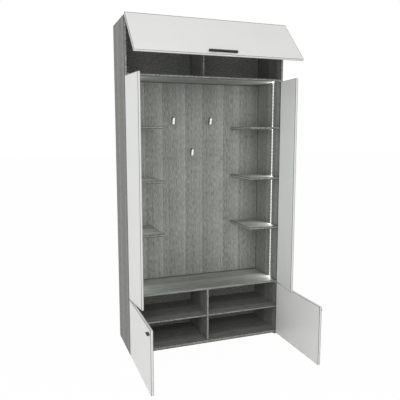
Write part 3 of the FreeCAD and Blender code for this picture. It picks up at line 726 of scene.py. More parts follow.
@dataclass(frozen=True)
class EdgeBanding(Finish):
    """Mottled banding glued to the boards' visible edges.

    Attributes:
        grain: Way in which the strip runs.
        dark: Colour of the dark flecks.
        light: Colour of the light flecks.
        drawn: How far the flecks are drawn out along the strip; smaller is longer.
        fleck_scale: Flecks per metre.
        fleck_range: Heights of the flecks over which the roughness changes.
        roughness: Lowest and highest roughness.
        relief: Strength of the flecks' relief.
        relief_depth: Depth of the flecks' relief.
        glue_and_shade: Colour of the dark lines along its borders, partly glued seams and partly painted
            shade.
        glue_and_shade_share: Width of such a line as a share of the strip's.
    """

    grain: Grain = Grain.ACROSS
    dark: Colour = (0.13, 0.13, 0.122)
    light: Colour = (0.43, 0.435, 0.41)
    drawn: float = 0.45
    fleck_scale: float = 170.0
    fleck_range: tuple[float, float] = (0.3, 0.7)
    roughness: tuple[float, float] = (0.42, 0.58)
    relief: float = 0.2
    relief_depth: float = 0.0002
    glue_and_shade: Colour = (0.035, 0.035, 0.033)
    glue_and_shade_share: float = 0.2

    def paint(self, sheet: NodeSheet, shader: bpy.types.Node) -> None:
        """Flecks drawn out along the strip, between its dark lines of glued seam and painted shade.

        Args:
            sheet: The material's nodes.
            shader: The Principled shader.
        """
        across = self.grain is Grain.ACROSS
        factors = (self.drawn, 1.0, 1.0) if across else (1.0, 1.0, self.drawn)
        coords = sheet.vector("MULTIPLY", sheet.object_coords(), factors)
        feeds = {"Coords": coords, "Scale": self.fleck_scale, "Dark": self.dark, "Light": self.light}
        flecks = Flecks.place(sheet, feeds)
        way = UPWARD if across else RIGHTWARD
        feeds = {"Coords": sheet.share_coords(), "Way": way, "Line Share": self.glue_and_shade_share}
        # Dark lines at the strip's borders: partly glued seams, partly painted shade.
        glue_and_shade = GlueAndShadeLines.place(sheet, feeds)["Mask"]
        sheet.link(sheet.blend(glue_and_shade, flecks["Color"], self.glue_and_shade), shader, "Base Color")
        sheet.link(sheet.remap(flecks["Height"], *self.fleck_range, *self.roughness), shader, "Roughness")
        sheet.link(sheet.bump(flecks["Height"], self.relief, self.relief_depth), shader, "Normal")


@dataclass(frozen=True)
class HandledFinish(Finish):
    """Finish with marks of handling.

    Attributes:
        colour: Colour before it is handled.
        gloss: Middle roughness.
        tone: Strength of the marks.
    """

    colour: Colour
    gloss: float = 0.5
    tone: float = 0.06

    def marks(self, sheet: NodeSheet, coords: Socket, colour: Feed) -> Outputs:
        """Colour and roughness with the marks of handling."""
        feeds = {"Coords": coords, "Color": colour, "Tone": self.tone, "Gloss": self.gloss}
        return HandMarks.place(sheet, feeds)

    def coat(self, sheet: NodeSheet, shader: bpy.types.Node, colour: Feed) -> None:
        """Give the shader a handled colour and roughness.

        Args:
            sheet: The material's nodes.
            shader: The Principled shader.
            colour: Colour before it is handled, or its socket.
        """
        marks = self.marks(sheet, sheet.object_coords(), colour)
        sheet.link(marks["Color"], shader, "Base Color")
        sheet.link(marks["Roughness"], shader, "Roughness")


@dataclass(frozen=True)
class Skin(HandledFinish):
    """Plain moulded or coated skin with a fine relief.

    Attributes:
        relief: Strength of the relief.
        relief_scale: Waves of relief per metre.
        relief_depth: Depth of the relief.
    """

    relief: float = 0.12
    relief_scale: float = 1500.0
    relief_depth: float = 0.0001

    def paint(self, sheet: NodeSheet, shader: bpy.types.Node) -> None:
        """Handled colour over a fine relief."""
        self.coat(sheet, shader, self.tint(sheet, shader))
        sheet.link(self.relieved(sheet, sheet.object_coords()), shader, "Normal")

    def tint(self, sheet: NodeSheet, shader: bpy.types.Node) -> Feed:
        """Colour of the skin before it is handled."""
        return self.colour

    def relieved(self, sheet: NodeSheet, coords: Socket) -> Socket:
        """Normal with the fine relief."""
        relief = FineRelief.place(sheet, {"Coords": coords, "Scale": self.relief_scale})["Height"]
        return sheet.bump(relief, self.relief, self.relief_depth)


@dataclass(frozen=True)
class WhiteFront(Skin):
    """Satin white front with a dark line along its edge banding, partly a seam and partly painted shade.

    Attributes:
        centre: Middle of the front, as it stands.
        turn: How far the front is swung open.
        half: Half of the front's size.
        band: Colour of the edge banding, a darker copy of the white: painted shade on the edges.
        joint: Colour of the line along the arrises, partly a seam and partly painted shade.
        joint_shade_line: Width of that line on each side of an arris.
    """

    colour: Colour = (0.82, 0.82, 0.815)
    gloss: float = 0.36
    tone: float = 0.022
    relief: float = 0.06
    relief_scale: float = 700.0
    relief_depth: float = 0.0002
    centre: Triple = (0.0, 0.0, 0.0)
    turn: Triple = (0.0, 0.0, 0.0)
    half: Triple = (0.1, 0.008, 0.1)
    band: Colour = (0.77, 0.77, 0.765)
    joint: Colour = (0.18, 0.18, 0.18)
    joint_shade_line: float = 0.0026

    def paint(self, sheet: NodeSheet, shader: bpy.types.Node) -> None:
        """Pressed skin, soft handling, and painted shade on the banding and along the arrises.

        Args:
            sheet: The material's nodes.
            shader: The Principled shader.
        """
        feeds = {"Vector": sheet.object_coords(), "Location": self.centre, "Rotation": self.turn}
        local = sheet.put("ShaderNodeMapping", feeds, vector_type="TEXTURE").outputs[0]
        marks = self.marks(sheet, local, self.colour)
        edge = EdgeJointShade.place(sheet, {"Coords": local, "Half": self.half, "Line": self.joint_shade_line})
        # Painted shade: the banding is darker than the face, and the line along the arrises is partly a seam
        # and partly painted shade.
        colour = sheet.blend(edge["Band"], marks["Color"], self.band)
        sheet.link(sheet.blend(edge["Joint"], colour, self.joint), shader, "Base Color")
        sheet.link(marks["Roughness"], shader, "Roughness")
        sheet.link(self.relieved(sheet, local), shader, "Normal")


@dataclass(frozen=True)
class CoatedMetal(Skin):
    """Metal under a coat of paint or plating.

    Attributes:
        metallic: How far the coat looks like metal.
    """

    gloss: float = 0.35
    tone: float = 0.2
    relief: float = 0.1
    relief_scale: float = 900.0
    relief_depth: float = 0.0002
    metallic: float = 0.0

    def tint(self, sheet: NodeSheet, shader: bpy.types.Node) -> Feed:
        """Colour of the coat, which also gets its look of metal."""
        shader.inputs["Metallic"].default_value = self.metallic
        return self.colour


@dataclass(frozen=True)
class BrushedMetal(CoatedMetal):
    """Drawn or rolled metal with lines along one axis.

    Attributes:
        lines: Stretch of the coordinates that draws the lines out.
    """

    relief: float = 0.18
    relief_scale: float = 2600.0
    relief_depth: float = 0.0001
    lines: Triple = (1.0, 1.0, 0.02)

    def relieved(self, sheet: NodeSheet, coords: Socket) -> Socket:
        """Normal with the fine lines."""
        line = sheet.noise(sheet.vector("MULTIPLY", coords, self.lines), self.relief_scale, 1.0)
        return sheet.bump(line, self.relief, self.relief_depth)


@dataclass(frozen=True)
class TwoToneHook(CoatedMetal):
    """Black coated strap whose prong has a chromed front; the black is partly its coat and partly painted
    shade beside the prong.

    Attributes:
        chrome: Colour of the chrome.
        prong_start: Place from front to back where the prong starts.
    """

    chrome: Colour = (0.92, 0.925, 0.93)
    prong_start: float = 0.0

    def tint(self, sheet: NodeSheet, shader: bpy.types.Node) -> Feed:
        """Chrome on the prong's front, and black elsewhere, partly the coat and partly painted shade.

        Args:
            sheet: The material's nodes.
            shader: The Principled shader.

        Returns:
            Colour of the strap.
        """
        place = sheet.split(sheet.object_coords())[1]
        facing = FacingMask.place(sheet, {"Normal": sheet.object_normal(), "Way": FORWARD})["Mask"]
        # Only the prong's front is chromed; the black elsewhere is partly coat, partly painted shade.
        chromed = sheet.math("MULTIPLY", facing, sheet.math("LESS_THAN", place, self.prong_start))
        sheet.link(chromed, shader, "Metallic")
        return sheet.blend(chromed, self.colour, self.chrome)


@dataclass(frozen=True)
class OpalLight(HandledFinish):
    """Lit opal cover, brightest along its middle and over each light chip.

    Attributes:
        between: Light between two chips.
        above: Light above a chip.
        rim: Light at the cover's long borders.
        core_share: Share of the cover's width that is fully lit.
        end_share: Share of the cover's length at each end that no chip lights.
        strength: Strength of the light.
        chip_pitch: Distance between two chips.
        unevenness: How much weaker the light is where the chips are dullest.
        dull_scale: Dull stretches per metre.
        dull_range: Noise over which the chips turn dull.
    """

    colour: Colour = (0.70, 0.70, 0.69)
    gloss: float = 0.45
    tone: float = 0.03
    between: Colour = (0.34, 0.355, 0.35)
    above: Colour = (1.0, 1.0, 0.99)
    rim: Colour = (0.10, 0.105, 0.10)
    core_share: float = 0.3
    end_share: float = 0.008
    strength: float = 1.25
    chip_pitch: float = 0.025
    unevenness: float = 0.35
    dull_scale: float = 14.0
    dull_range: tuple[float, float] = (0.4, 0.6)

    def paint(self, sheet: NodeSheet, shader: bpy.types.Node) -> None:
        """Waves of light along the strip that fade to its borders.

        Args:
            sheet: The material's nodes.
            shader: The Principled shader.
        """
        coords = sheet.object_coords()
        phase = sheet.math("MULTIPLY", sheet.split(coords)[2], math.tau / self.chip_pitch)
        wave = sheet.remap(sheet.math("SINE", phase), -1.0, 1.0)
        shares = sheet.split(sheet.share_coords())
        aside, to_end = (sheet.math("ABSOLUTE", sheet.math("SUBTRACT", shares[way], 0.5)) for way in (1, 2))
        border = sheet.remap(aside, self.core_share / 2, 0.5)
        fade = sheet.math("MAXIMUM", border, sheet.remap(to_end, 0.5 - self.end_share, 0.5))
        noise = sheet.noise(coords, self.dull_scale, 1.0)
        dull = sheet.remap(noise, *self.dull_range, 0.0, self.unevenness)
        lit = sheet.blend(dull, sheet.blend(wave, self.between, self.above), self.rim)
        sheet.link(sheet.blend(fade, lit, self.rim), shader, "Emission Color")
        shader.inputs["Emission Strength"].default_value = self.strength
        self.coat(sheet, shader, self.colour)


ACROSS_LOOK = {"grain": Grain.ACROSS, "stretch": 0.12, "lines": 0.8, "streaks": 0.8}
SPECKLED_LOOK = {
    "stretch": 1.0,
    "lines": 0.1,
    "streaks": 2.3,
    "planks": 0.0,
    "dark": (0.110, 0.111, 0.103),
    "light": (0.455, 0.460, 0.430),
    "rear_dark": (0.130, 0.083, 0.046),
    "rear_light": (0.300, 0.206, 0.126),
    "rear_scale": 240.0,
}

LAMINATE_UPRIGHT = Laminate("grey_laminate_upright")
LAMINATE_ACROSS = Laminate("grey_laminate_across", **ACROSS_LOOK)
BEECH = Laminate(
    "beech", dark=(0.38, 0.25, 0.14), light=(0.72, 0.55, 0.36), stretch=0.12, planks=0.0, bare_rear=False
)
BANDING_ACROSS = EdgeBanding("edge_banding_across")
BANDING_BENCH = EdgeBanding(
    "edge_banding_bench", dark=(0.22, 0.22, 0.207), light=(0.36, 0.363, 0.34), drawn=0.06, glue_and_shade_share=0.09
)
BANDING_UPRIGHT = EdgeBanding("edge_banding_upright", grain=Grain.UPRIGHT, glue_and_shade_share=0.14)
ZINC_STEEL = BrushedMetal("zinc_steel", (0.62, 0.63, 0.645), metallic=1.0, gloss=0.34, tone=0.25)
ANODISED = BrushedMetal("anodised_aluminium", (0.78, 0.79, 0.80), metallic=1.0, gloss=0.38, tone=0.1)
# Near-black cross drives: painted shade of the recess in each screw head.
DRIVE_SHADE = CoatedMetal("screw_drive_shade", (0.06, 0.06, 0.062), metallic=1.0, gloss=0.5)
SATIN_BLACK = CoatedMetal("satin_black", (0.012, 0.012, 0.013), gloss=0.42, relief=0.2, relief_scale=2200.0)
# Black hook coat, partly painted shade beside the chromed prong.
HOOK_BLACK_AND_SHADE = TwoToneHook("two_tone_shaded_hook", (0.012, 0.012, 0.013), gloss=0.26, tone=0.05, relief=0.02)
NYLON_WHITE = Skin("nylon_white", (0.74, 0.74, 0.72))
TAPE_CREAM = Skin("tape_cream", (0.82, 0.80, 0.70), gloss=0.4)
OPAL_LIGHT = OpalLight("opal_light")


def show(obj: bpy.types.Object, finish: Finish) -> None:
    """Give a piece one finish.

    Args:
        obj: Piece to dress.
        finish: Finish that it takes.
    """
    obj.data.materials.clear()
    obj.data.materials.append(finish.material())
    LOG.info("%s: %s", obj.name, finish.name)


def dress(nodes: Sequence[str], finish: Finish) -> None:
    """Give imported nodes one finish."""
    for node in nodes:
        show(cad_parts[node], finish)


def add_object(name: str, data: bpy.types.ID) -> bpy.types.Object:
    """Add an object to the scene.

    Args:
        name: Name of the object.
        data: Its mesh, light or camera.

    Returns:
        The new object.
    """
    made = bpy.data.objects.new(name, data)
    bpy.context.scene.collection.objects.link(made)
    return made


def add_piece(name: str, form: bmesh.types.BMesh, body: str, finish: Finish) -> bpy.types.Object:
    """Turn a mesh into a dressed piece that rides on a body.

    Args:
        name: Name of the piece.
        form: Its mesh, which is used up.
        body: Body that carries it.
        finish: Finish that it takes.

    Returns:
        The new piece.
    """
    mesh = bpy.data.meshes.new(name)
    bmesh.ops.recalc_face_normals(form, faces=form.faces)
    form.to_mesh(mesh)
    form.free()
    mesh.shade_smooth()
    mesh.set_sharp_from_angle(angle=SMOOTH_ANGLE)
    piece = add_object(name, mesh)
    show(piece, finish)
    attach(piece, body)
    return piece


def rounded_bar(form: bmesh.types.BMesh, low: Vector, high: Vector, rounding: float) -> None:
    """Add a bar with rounded edges to a mesh.

    Args:
        form: Mesh that gets the bar.
        low: Lowest corner.
        high: Highest corner.
        rounding: Radius of the edges.
    """
    middle = Matrix.Translation((low + high) / 2) @ Matrix.Diagonal((*(high - low), 1.0))
    corners = bmesh.ops.create_cube(form, size=1.0, matrix=middle)["verts"]
    edges = list(dict.fromkeys(edge for corner in corners for edge in corner.link_edges))
    bmesh.ops.bevel(
        form, geom=edges, offset=rounding, segments=EDGE_FACETS, affect="EDGES", profile=ROUND_PROFILE
    )


def loft(form: bmesh.types.BMesh, rows: Sequence[Sequence[bmesh.types.BMVert]]) -> None:
    """Skin rows of corners and close both ends.

    Args:
        form: Mesh that holds the corners.
        rows: Closed rows of equally many corners.
    """
    for row, following in zip(rows, rows[1:]):
        for index in range(len(row)):
            after = (index + 1) % len(row)
            form.faces.new((row[index], row[after], following[after], following[index]))
    form.faces.new(rows[0])
    form.faces.new(reversed(rows[-1]))
    bmesh.ops.remove_doubles(form, verts=form.verts, dist=WELD_DISTANCE)


def loose_solids(node: str) -> Iterator[np.ndarray]:
    """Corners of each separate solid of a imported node.

    Args:
        node: Name of the node.

    Yields:
        One row of x, y and z for each corner.
    """
    form = bmesh.new()
    form.from_mesh(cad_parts[node].data)
    bmesh.ops.remove_doubles(form, verts=form.verts, dist=WELD_DISTANCE)
    form.verts.index_update()
    done: set[bmesh.types.BMVert] = set()
    for start in form.verts:
        if start in done:
            continue
        found, search = {start}, [start]
        while search:
            corner = search.pop()
            near = {edge.other_vert(corner) for edge in corner.link_edges} - found
            found |= near
            search.extend(near)
        done |= found
        yield np.array([corner.co[:] for corner in sorted(found, key=lambda corner: corner.index)])
    form.free()


@dataclass
class Carcass:
    """Boards, backs and the banding on their visible edges.

    Attributes:
        band_thickness: How far the banding stands proud of a board.
        band_seat: How far it reaches back over the softened edge.
        band_margin: How far it stays inside the board's faces.
        band_round: Radius of its edges.
        joint_shade_line: Width of the painted shade where a board meets the niche's back and side panels, and
            of a free end's dark line.
        shaded_side_dark: Darkest print colour of the side panels, darker than the other boards as painted
            shade.
        shaded_side_light: Lightest print colour of the side panels, darker in the same way.
    """

    band_thickness: float = 0.0005
    band_seat: float = 0.0009
    band_margin: float = 0.00005
    band_round: float = 0.0004
    joint_shade_line: float = 0.004
    # Darker print colours for the side panels: painted shade.
    shaded_side_dark: Colour = (0.084, 0.085, 0.078)
    shaded_side_light: Colour = (0.350, 0.355, 0.331)

    SIDES = ("left_side_panel", "right_side_panel")
    DIVIDERS = ("top_box_divider", "shoe_divider")
    TOP_AND_BOTTOM = ("top_panel", "bottom_panel")
    NICHE_BOARDS = ("top_box_floor", "bench_seat")
    SHOE_SHELVES = ("left_shoe_shelf", "right_shoe_shelf")
    LEFT_CORNER = ("left_upper_shelf", "left_middle_shelf", "left_lower_shelf")
    RIGHT_CORNER = ("right_upper_shelf", "right_middle_shelf", "right_lower_shelf")

    def build(self) -> None:
        """Dress the boards and band their edges."""
        self.dress_boards()
        self.dress_back("middle_back_panel", "bench_seat", "top_box_floor", {"bare_rear": False})
        self.dress_back("top_back_sheet", "top_box_floor", "top_panel", SPECKLED_LOOK)
        self.dress_back("lower_back_sheet", "bottom_panel", "bench_seat", SPECKLED_LOOK)
        for node in (*self.SIDES, *self.DIVIDERS):
            self.band_front(node, BANDING_UPRIGHT)
        lying = (*self.TOP_AND_BOTTOM, *self.NICHE_BOARDS, *self.SHOE_SHELVES)
        for node in (*lying, *self.LEFT_CORNER, *self.RIGHT_CORNER):
            self.band_front(node, BANDING_BENCH if node == "bench_seat" else BANDING_ACROSS)
        for node in self.LEFT_CORNER:
            self.band_end(node, Side.RIGHT)
        for node in self.RIGHT_CORNER:
            self.band_end(node, Side.LEFT)

    def dress_boards(self) -> None:
        """Dress the standing and the lying boards."""
        for node in self.SIDES:
            self.dress_side(node)
        dress(self.DIVIDERS, LAMINATE_UPRIGHT)
        dress((*self.TOP_AND_BOTTOM, *self.SHOE_SHELVES), LAMINATE_ACROSS)
        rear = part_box("middle_back_panel")[0].y - self.joint_shade_line
        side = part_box("right_side_panel")[0].x - self.joint_shade_line
        # Painted shade where niche boards and corner shelves meet the back and the side panels.
        long_board = NicheLaminate("grey_laminate_niche_shaded", **ACROSS_LOOK, rear_start=rear, side_start=side)
        dress(self.NICHE_BOARDS, long_board)
        free_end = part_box(self.RIGHT_CORNER[0])[0].x + self.joint_shade_line
        corner_shelf = replace(long_board, name="grey_laminate_corner_shaded", end_stop=free_end)
        dress((*self.LEFT_CORNER, *self.RIGHT_CORNER), corner_shelf)

    def dress_side(self, node: str) -> None:
        """Dress a side panel in a darker copy of the laminate, painted shade against the boards between the
        two.

        Args:
            node: Panel to dress.
        """
        low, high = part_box(node)
        half = (high - low) / 2
        sizes = {"centre": tuple(low + half), "half": tuple(half)}
        # Painted shade: darker print colours, and a dark line along the panel's borders.
        dress((node,), SideLaminate(f"grey_{node}", dark=self.shaded_side_dark, light=self.shaded_side_light, **sizes))

    def dress_back(self, node: str, below: str, above: str, look: dict[str, object]) -> None:
        """Dress a back, with painted shade along the boards round it.

        Args:
            node: Back to dress.
            below: Board at its foot.
            above: Board at its top.
            look: Values in which its laminate differs from the rest.
        """
        foot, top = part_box(below)[1].z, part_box(above)[0].z
        half_width = -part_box("left_side_panel")[1].x
        centre = (0.0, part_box(node)[0].y, (foot + top) / 2)
        half = (half_width, 0.0, (top - foot) / 2)
        # Painted shade along the boards that meet the back.
        dress((node,), JoinedLaminate(f"grey_{node}", centre=centre, half=half, **look))

    def band_front(self, node: str, finish: Finish) -> None:
        """Band a board's front edge.

        Args:
            node: Board to band.
            finish: Banding that runs along it.
        """
        low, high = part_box(node)
        margin = Vector((self.band_margin, 0.0, self.band_margin))
        front = Vector((low.x, low.y - self.band_thickness, low.z)) + margin
        seat = Vector((high.x, low.y + self.band_seat, high.z)) - margin
        form = bmesh.new()
        rounded_bar(form, front, seat, self.band_round)
        add_piece(f"{node}_front_band", form, "carcass", finish)

    def band_end(self, node: str, side: Side) -> None:
        """Band the free end of a corner shelf.

        Args:
            node: Shelf to band.
            side: Side of the shelf on which its free end lies.
        """
        low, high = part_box(node)
        end = high.x if side is Side.RIGHT else low.x
        reach = sorted((end + side.value * self.band_thickness, end - side.value * self.band_seat))
        start = Vector((reach[0], low.y - self.band_thickness, low.z + self.band_margin))
        stop = Vector((reach[1], high.y, high.z - self.band_margin))
        form = bmesh.new()
        rounded_bar(form, start, stop, self.band_round)
        add_piece(f"{node}_end_band", form, "carcass", BANDING_ACROSS)


@dataclass
class CoatHooks:
    """Black strap hooks with chromed fronts, on black wall plates at the niche's back; the black is partly
    their coat and partly painted shade beside the prongs.

    Attributes:
        width: Width of the strap and the plate.
        strap: Thickness of the strap.
        throat: Clear gap at the hook's floor.
        lean: How far the prong leans outward.
        rise: Height of the prong.
        leg_rise: Height of the leg on the plate.
        bend: Radius of the bends along the strap's middle.
        tip_share: Least width of the strap's tips as a share of its width.
        plate_rise: Height of the wall plate.
        plate_thickness: Thickness of the wall plate.
        plate_round: Radius of the plate's front edge.
        round_share: Place of that rounding's middle as a share of its radius.
        edge_steps: Facets in a quarter of the strap's section.
        bend_steps: Facets in a bend.
        end_steps: Facets in a quarter of a rounded end.
    """

    width: float = 0.018
    strap: float = 0.003
    throat: float = 0.008
    lean: float = 0.013
    rise: float = 0.050
    leg_rise: float = 0.036
    bend: float = 0.0045
    tip_share: float = 0.02
    plate_rise: float = 0.056
    plate_thickness: float = 0.002
    plate_round: float = 0.0008
    round_share: float = 0.3
    edge_steps: int = 3
    bend_steps: int = 8
    end_steps: int = 7

    NODES = ("left_coat_hook", "right_coat_hook", "centre_coat_hook")

    def build(self) -> None:
        """Make the three hooks and their plates, and dress their screws."""
        plates = bmesh.new()
        prong_start = self.seat(self.NODES[0]).y - self.strap - self.throat
        finish = replace(HOOK_BLACK_AND_SHADE, prong_start=prong_start)
        for node in self.NODES:
            self.make_strap(node, finish)
            self.add_plate(plates, node)
        # The black wall plates are partly painted shade beside each bright prong.
        piece = add_piece("coat_hook_wall_plates", plates, "carcass", SATIN_BLACK)
        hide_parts("coat_hook_plates")
        dress(("coat_hook_screws",), SATIN_BLACK)

    def seat(self, node: str) -> Vector:
        """Middle of a hook's heel, on the front of its plate."""
        low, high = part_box(node)
        return Vector(((low.x + high.x) / 2, high.y, low.z))

    def add_plate(self, form: bmesh.types.BMesh, node: str) -> None:
        """Add a wall plate with round ends.

        Args:
            form: Mesh that gets the plate.
            node: Hook that the plate carries.
        """
        radius = self.width / 2
        seat = self.seat(node)
        midway = self.round_share * self.plate_round
        section = (
            (self.plate_thickness, 0.0),
            (self.plate_round, 0.0),
            (midway, midway),
            (0.0, self.plate_round),
        )
        rows = []
        for depth, inset in section:
            row = []
            for turn in range(4 * self.end_steps + 2):
                half_turn = turn > 2 * self.end_steps
                angle = math.pi * (turn - half_turn) / (2 * self.end_steps)
                middle = radius if half_turn else self.plate_rise - radius
                spot = Vector((math.cos(angle), 0.0, math.sin(angle))) * (radius - inset)
                row.append(form.verts.new(seat + spot + Vector((0.0, depth, middle))))
            rows.append(row)
        loft(form, rows)

    def route(self) -> list[Vector]:
        """Bend the middle line of the strap, from the leg's top to the prong's tip.

        Returns:
            Places on the line, in y and z from the hook's heel.
        """
        half = self.strap / 2
        floor_end = -(2 * self.strap + self.throat)
        corners = [
            Vector((-half, self.leg_rise)),
            Vector((-half, half)),
            Vector((floor_end + half, half)),
            Vector((floor_end - self.lean + half, self.rise)),
        ]
        line = [corners[0]]
        for before, corner, after in zip(corners, corners[1:], corners[2:]):
            arrive = (corner - before).normalized()
            leave = (after - corner).normalized()
            turn = arrive.angle(leave)
            setback = self.bend * math.tan(turn / 2)
            start, stop = corner - arrive * setback, corner + leave * setback
            for step in range(self.bend_steps + 1):
                share = step / self.bend_steps
                line.append((start.lerp(corner, share)).lerp(corner.lerp(stop, share), share))
        return [*line, corners[-1]]

    def rounded_end(self, tip: Vector, inward: Vector) -> list[tuple[Vector, float]]:
        """Round one end of the strap.

        Args:
            tip: Place of the tip.
            inward: Way from the tip along the strap.

        Returns:
            Place and half width of each ring, from the tip inward.
        """
        radius = self.width / 2
        rings = []
        for step in range(self.end_steps + 1):
            angle = math.pi / 2 * step / self.end_steps
            spot = tip + inward * radius * (1 - math.cos(angle))
            rings.append((spot, radius * max(math.sin(angle), self.tip_share)))
        return rings

    def rings(self, line: list[Vector]) -> Iterator[tuple[Vector, Vector, float]]:
        """Places along the strap with the width that its rounded ends leave.

        Args:
            line: Middle line of the strap.

        Yields:
            Place, direction across the thickness, and half width.
        """
        first_way = (line[1] - line[0]).normalized()
        last_way = (line[-1] - line[-2]).normalized()
        places = [(spot, first_way, half_width) for spot, half_width in self.rounded_end(line[0], first_way)]
        for before, spot, after in zip(line, line[1:], line[2:]):
            places.append((spot, (after - before).normalized(), self.width / 2))
        for spot, half_width in reversed(self.rounded_end(line[-1], -last_way)):
            places.append((spot, last_way, half_width))
        for spot, way, half_width in places:
            yield spot, Vector((-way.y, way.x)), half_width

    def make_strap(self, node: str, finish: Finish) -> None:
        """Sweep the strap's rounded section along its line.

        Args:
            node: Packed hook that the piece stands for.
            finish: Finish of the strap.
        """
        origin = self.seat(node)
        half = self.strap / 2
        form = bmesh.new()
        rows = []
        for spot, across, half_width in self.rings(self.route()):
            edge = min(half, half_width)
            row = []
            for quarter in range(4):
                for step in range(self.edge_steps + 1):
                    angle = math.pi / 2 * (quarter + step / self.edge_steps)
                    side = 1 if quarter in (0, 3) else -1
                    x = side * (half_width - edge) + math.cos(angle) * edge
                    lift = across * (math.sin(angle) * half)
                    row.append(form.verts.new(origin + Vector((x, spot.x + lift.x, spot.y + lift.y))))
            rows.append(row)
        loft(form, rows)
        piece = add_piece(f"{node}_strap", form, "carcass", finish)
        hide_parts(node)


@dataclass
class LightStrips:
    """Light strips let into the side panels, and their driver.

    Attributes:
        left_power: Power of the light that the left strip throws.
        right_power: Power of the light that the right strip throws.
        glow_colour: Colour of that light.
        glow_gap: Distance of the light from the strip's cover.
        glow_spread: Angle that the light fills.
    """

    left_power: float = 2.7
    right_power: float = 2.8
    glow_colour: Colour = (0.94, 1.0, 0.975)
    glow_gap: float = 0.0006
    glow_spread: float = math.radians(168)

    def build(self) -> None:
        """Dress the strips from the lit cover to the channel, and light them."""
        dress(("left_light_diffuser", "right_light_diffuser"), OPAL_LIGHT)
        dress(("left_light_profile", "right_light_profile"), ANODISED)
        dress(("light_end_caps", "light_driver"), NYLON_WHITE)
        dress(("light_tapes",), TAPE_CREAM)
        for side in Side:
            self.light(side)

    def light(self, side: Side) -> None:
        """Hang the light that one strip throws just before its cover.

        Args:
            side: Side of the unit.
        """
        low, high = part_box(f"{side.name.lower()}_light_diffuser")
        lamp = bpy.data.lights.new(f"{side.name.lower()}_strip_glow", "AREA")
        lamp.shape = "RECTANGLE"
        lamp.size, lamp.size_y = high.y - low.y, high.z - low.z
        lamp.energy = self.right_power if side is Side.RIGHT else self.left_power
        lamp.color = self.glow_colour
        lamp.spread = self.glow_spread
        face = low.x if side is Side.RIGHT else high.x
        sideways = Vector((side.value, 0.0, 0.0))
        upward = Vector(UPWARD)
        turned = Matrix((upward.cross(sideways), upward, sideways)).transposed()
        place = Vector((face, (low.y + high.y) / 2, (low.z + high.z) / 2)) - sideways * self.glow_gap
        add_object(lamp.name, lamp).matrix_world = Matrix.Translation(place) @ turned.to_4x4()


@dataclass(frozen=True)
class Leaf:
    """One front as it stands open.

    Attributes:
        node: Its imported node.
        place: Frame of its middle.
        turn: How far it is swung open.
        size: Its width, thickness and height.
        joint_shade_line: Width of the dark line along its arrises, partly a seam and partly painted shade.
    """

    node: str
    place: Matrix
    turn: Euler
    size: Triple
    joint_shade_line: float

    def finish(self) -> WhiteFront:
        """Fit the white finish to this front.

        Returns:
            The front's own finish.
        """
        return WhiteFront(
            f"white_{self.node}",
            centre=tuple(self.place.to_translation()),
            turn=tuple(self.turn),
            half=tuple(side / 2 for side in self.size),
            joint_shade_line=self.joint_shade_line,
        )


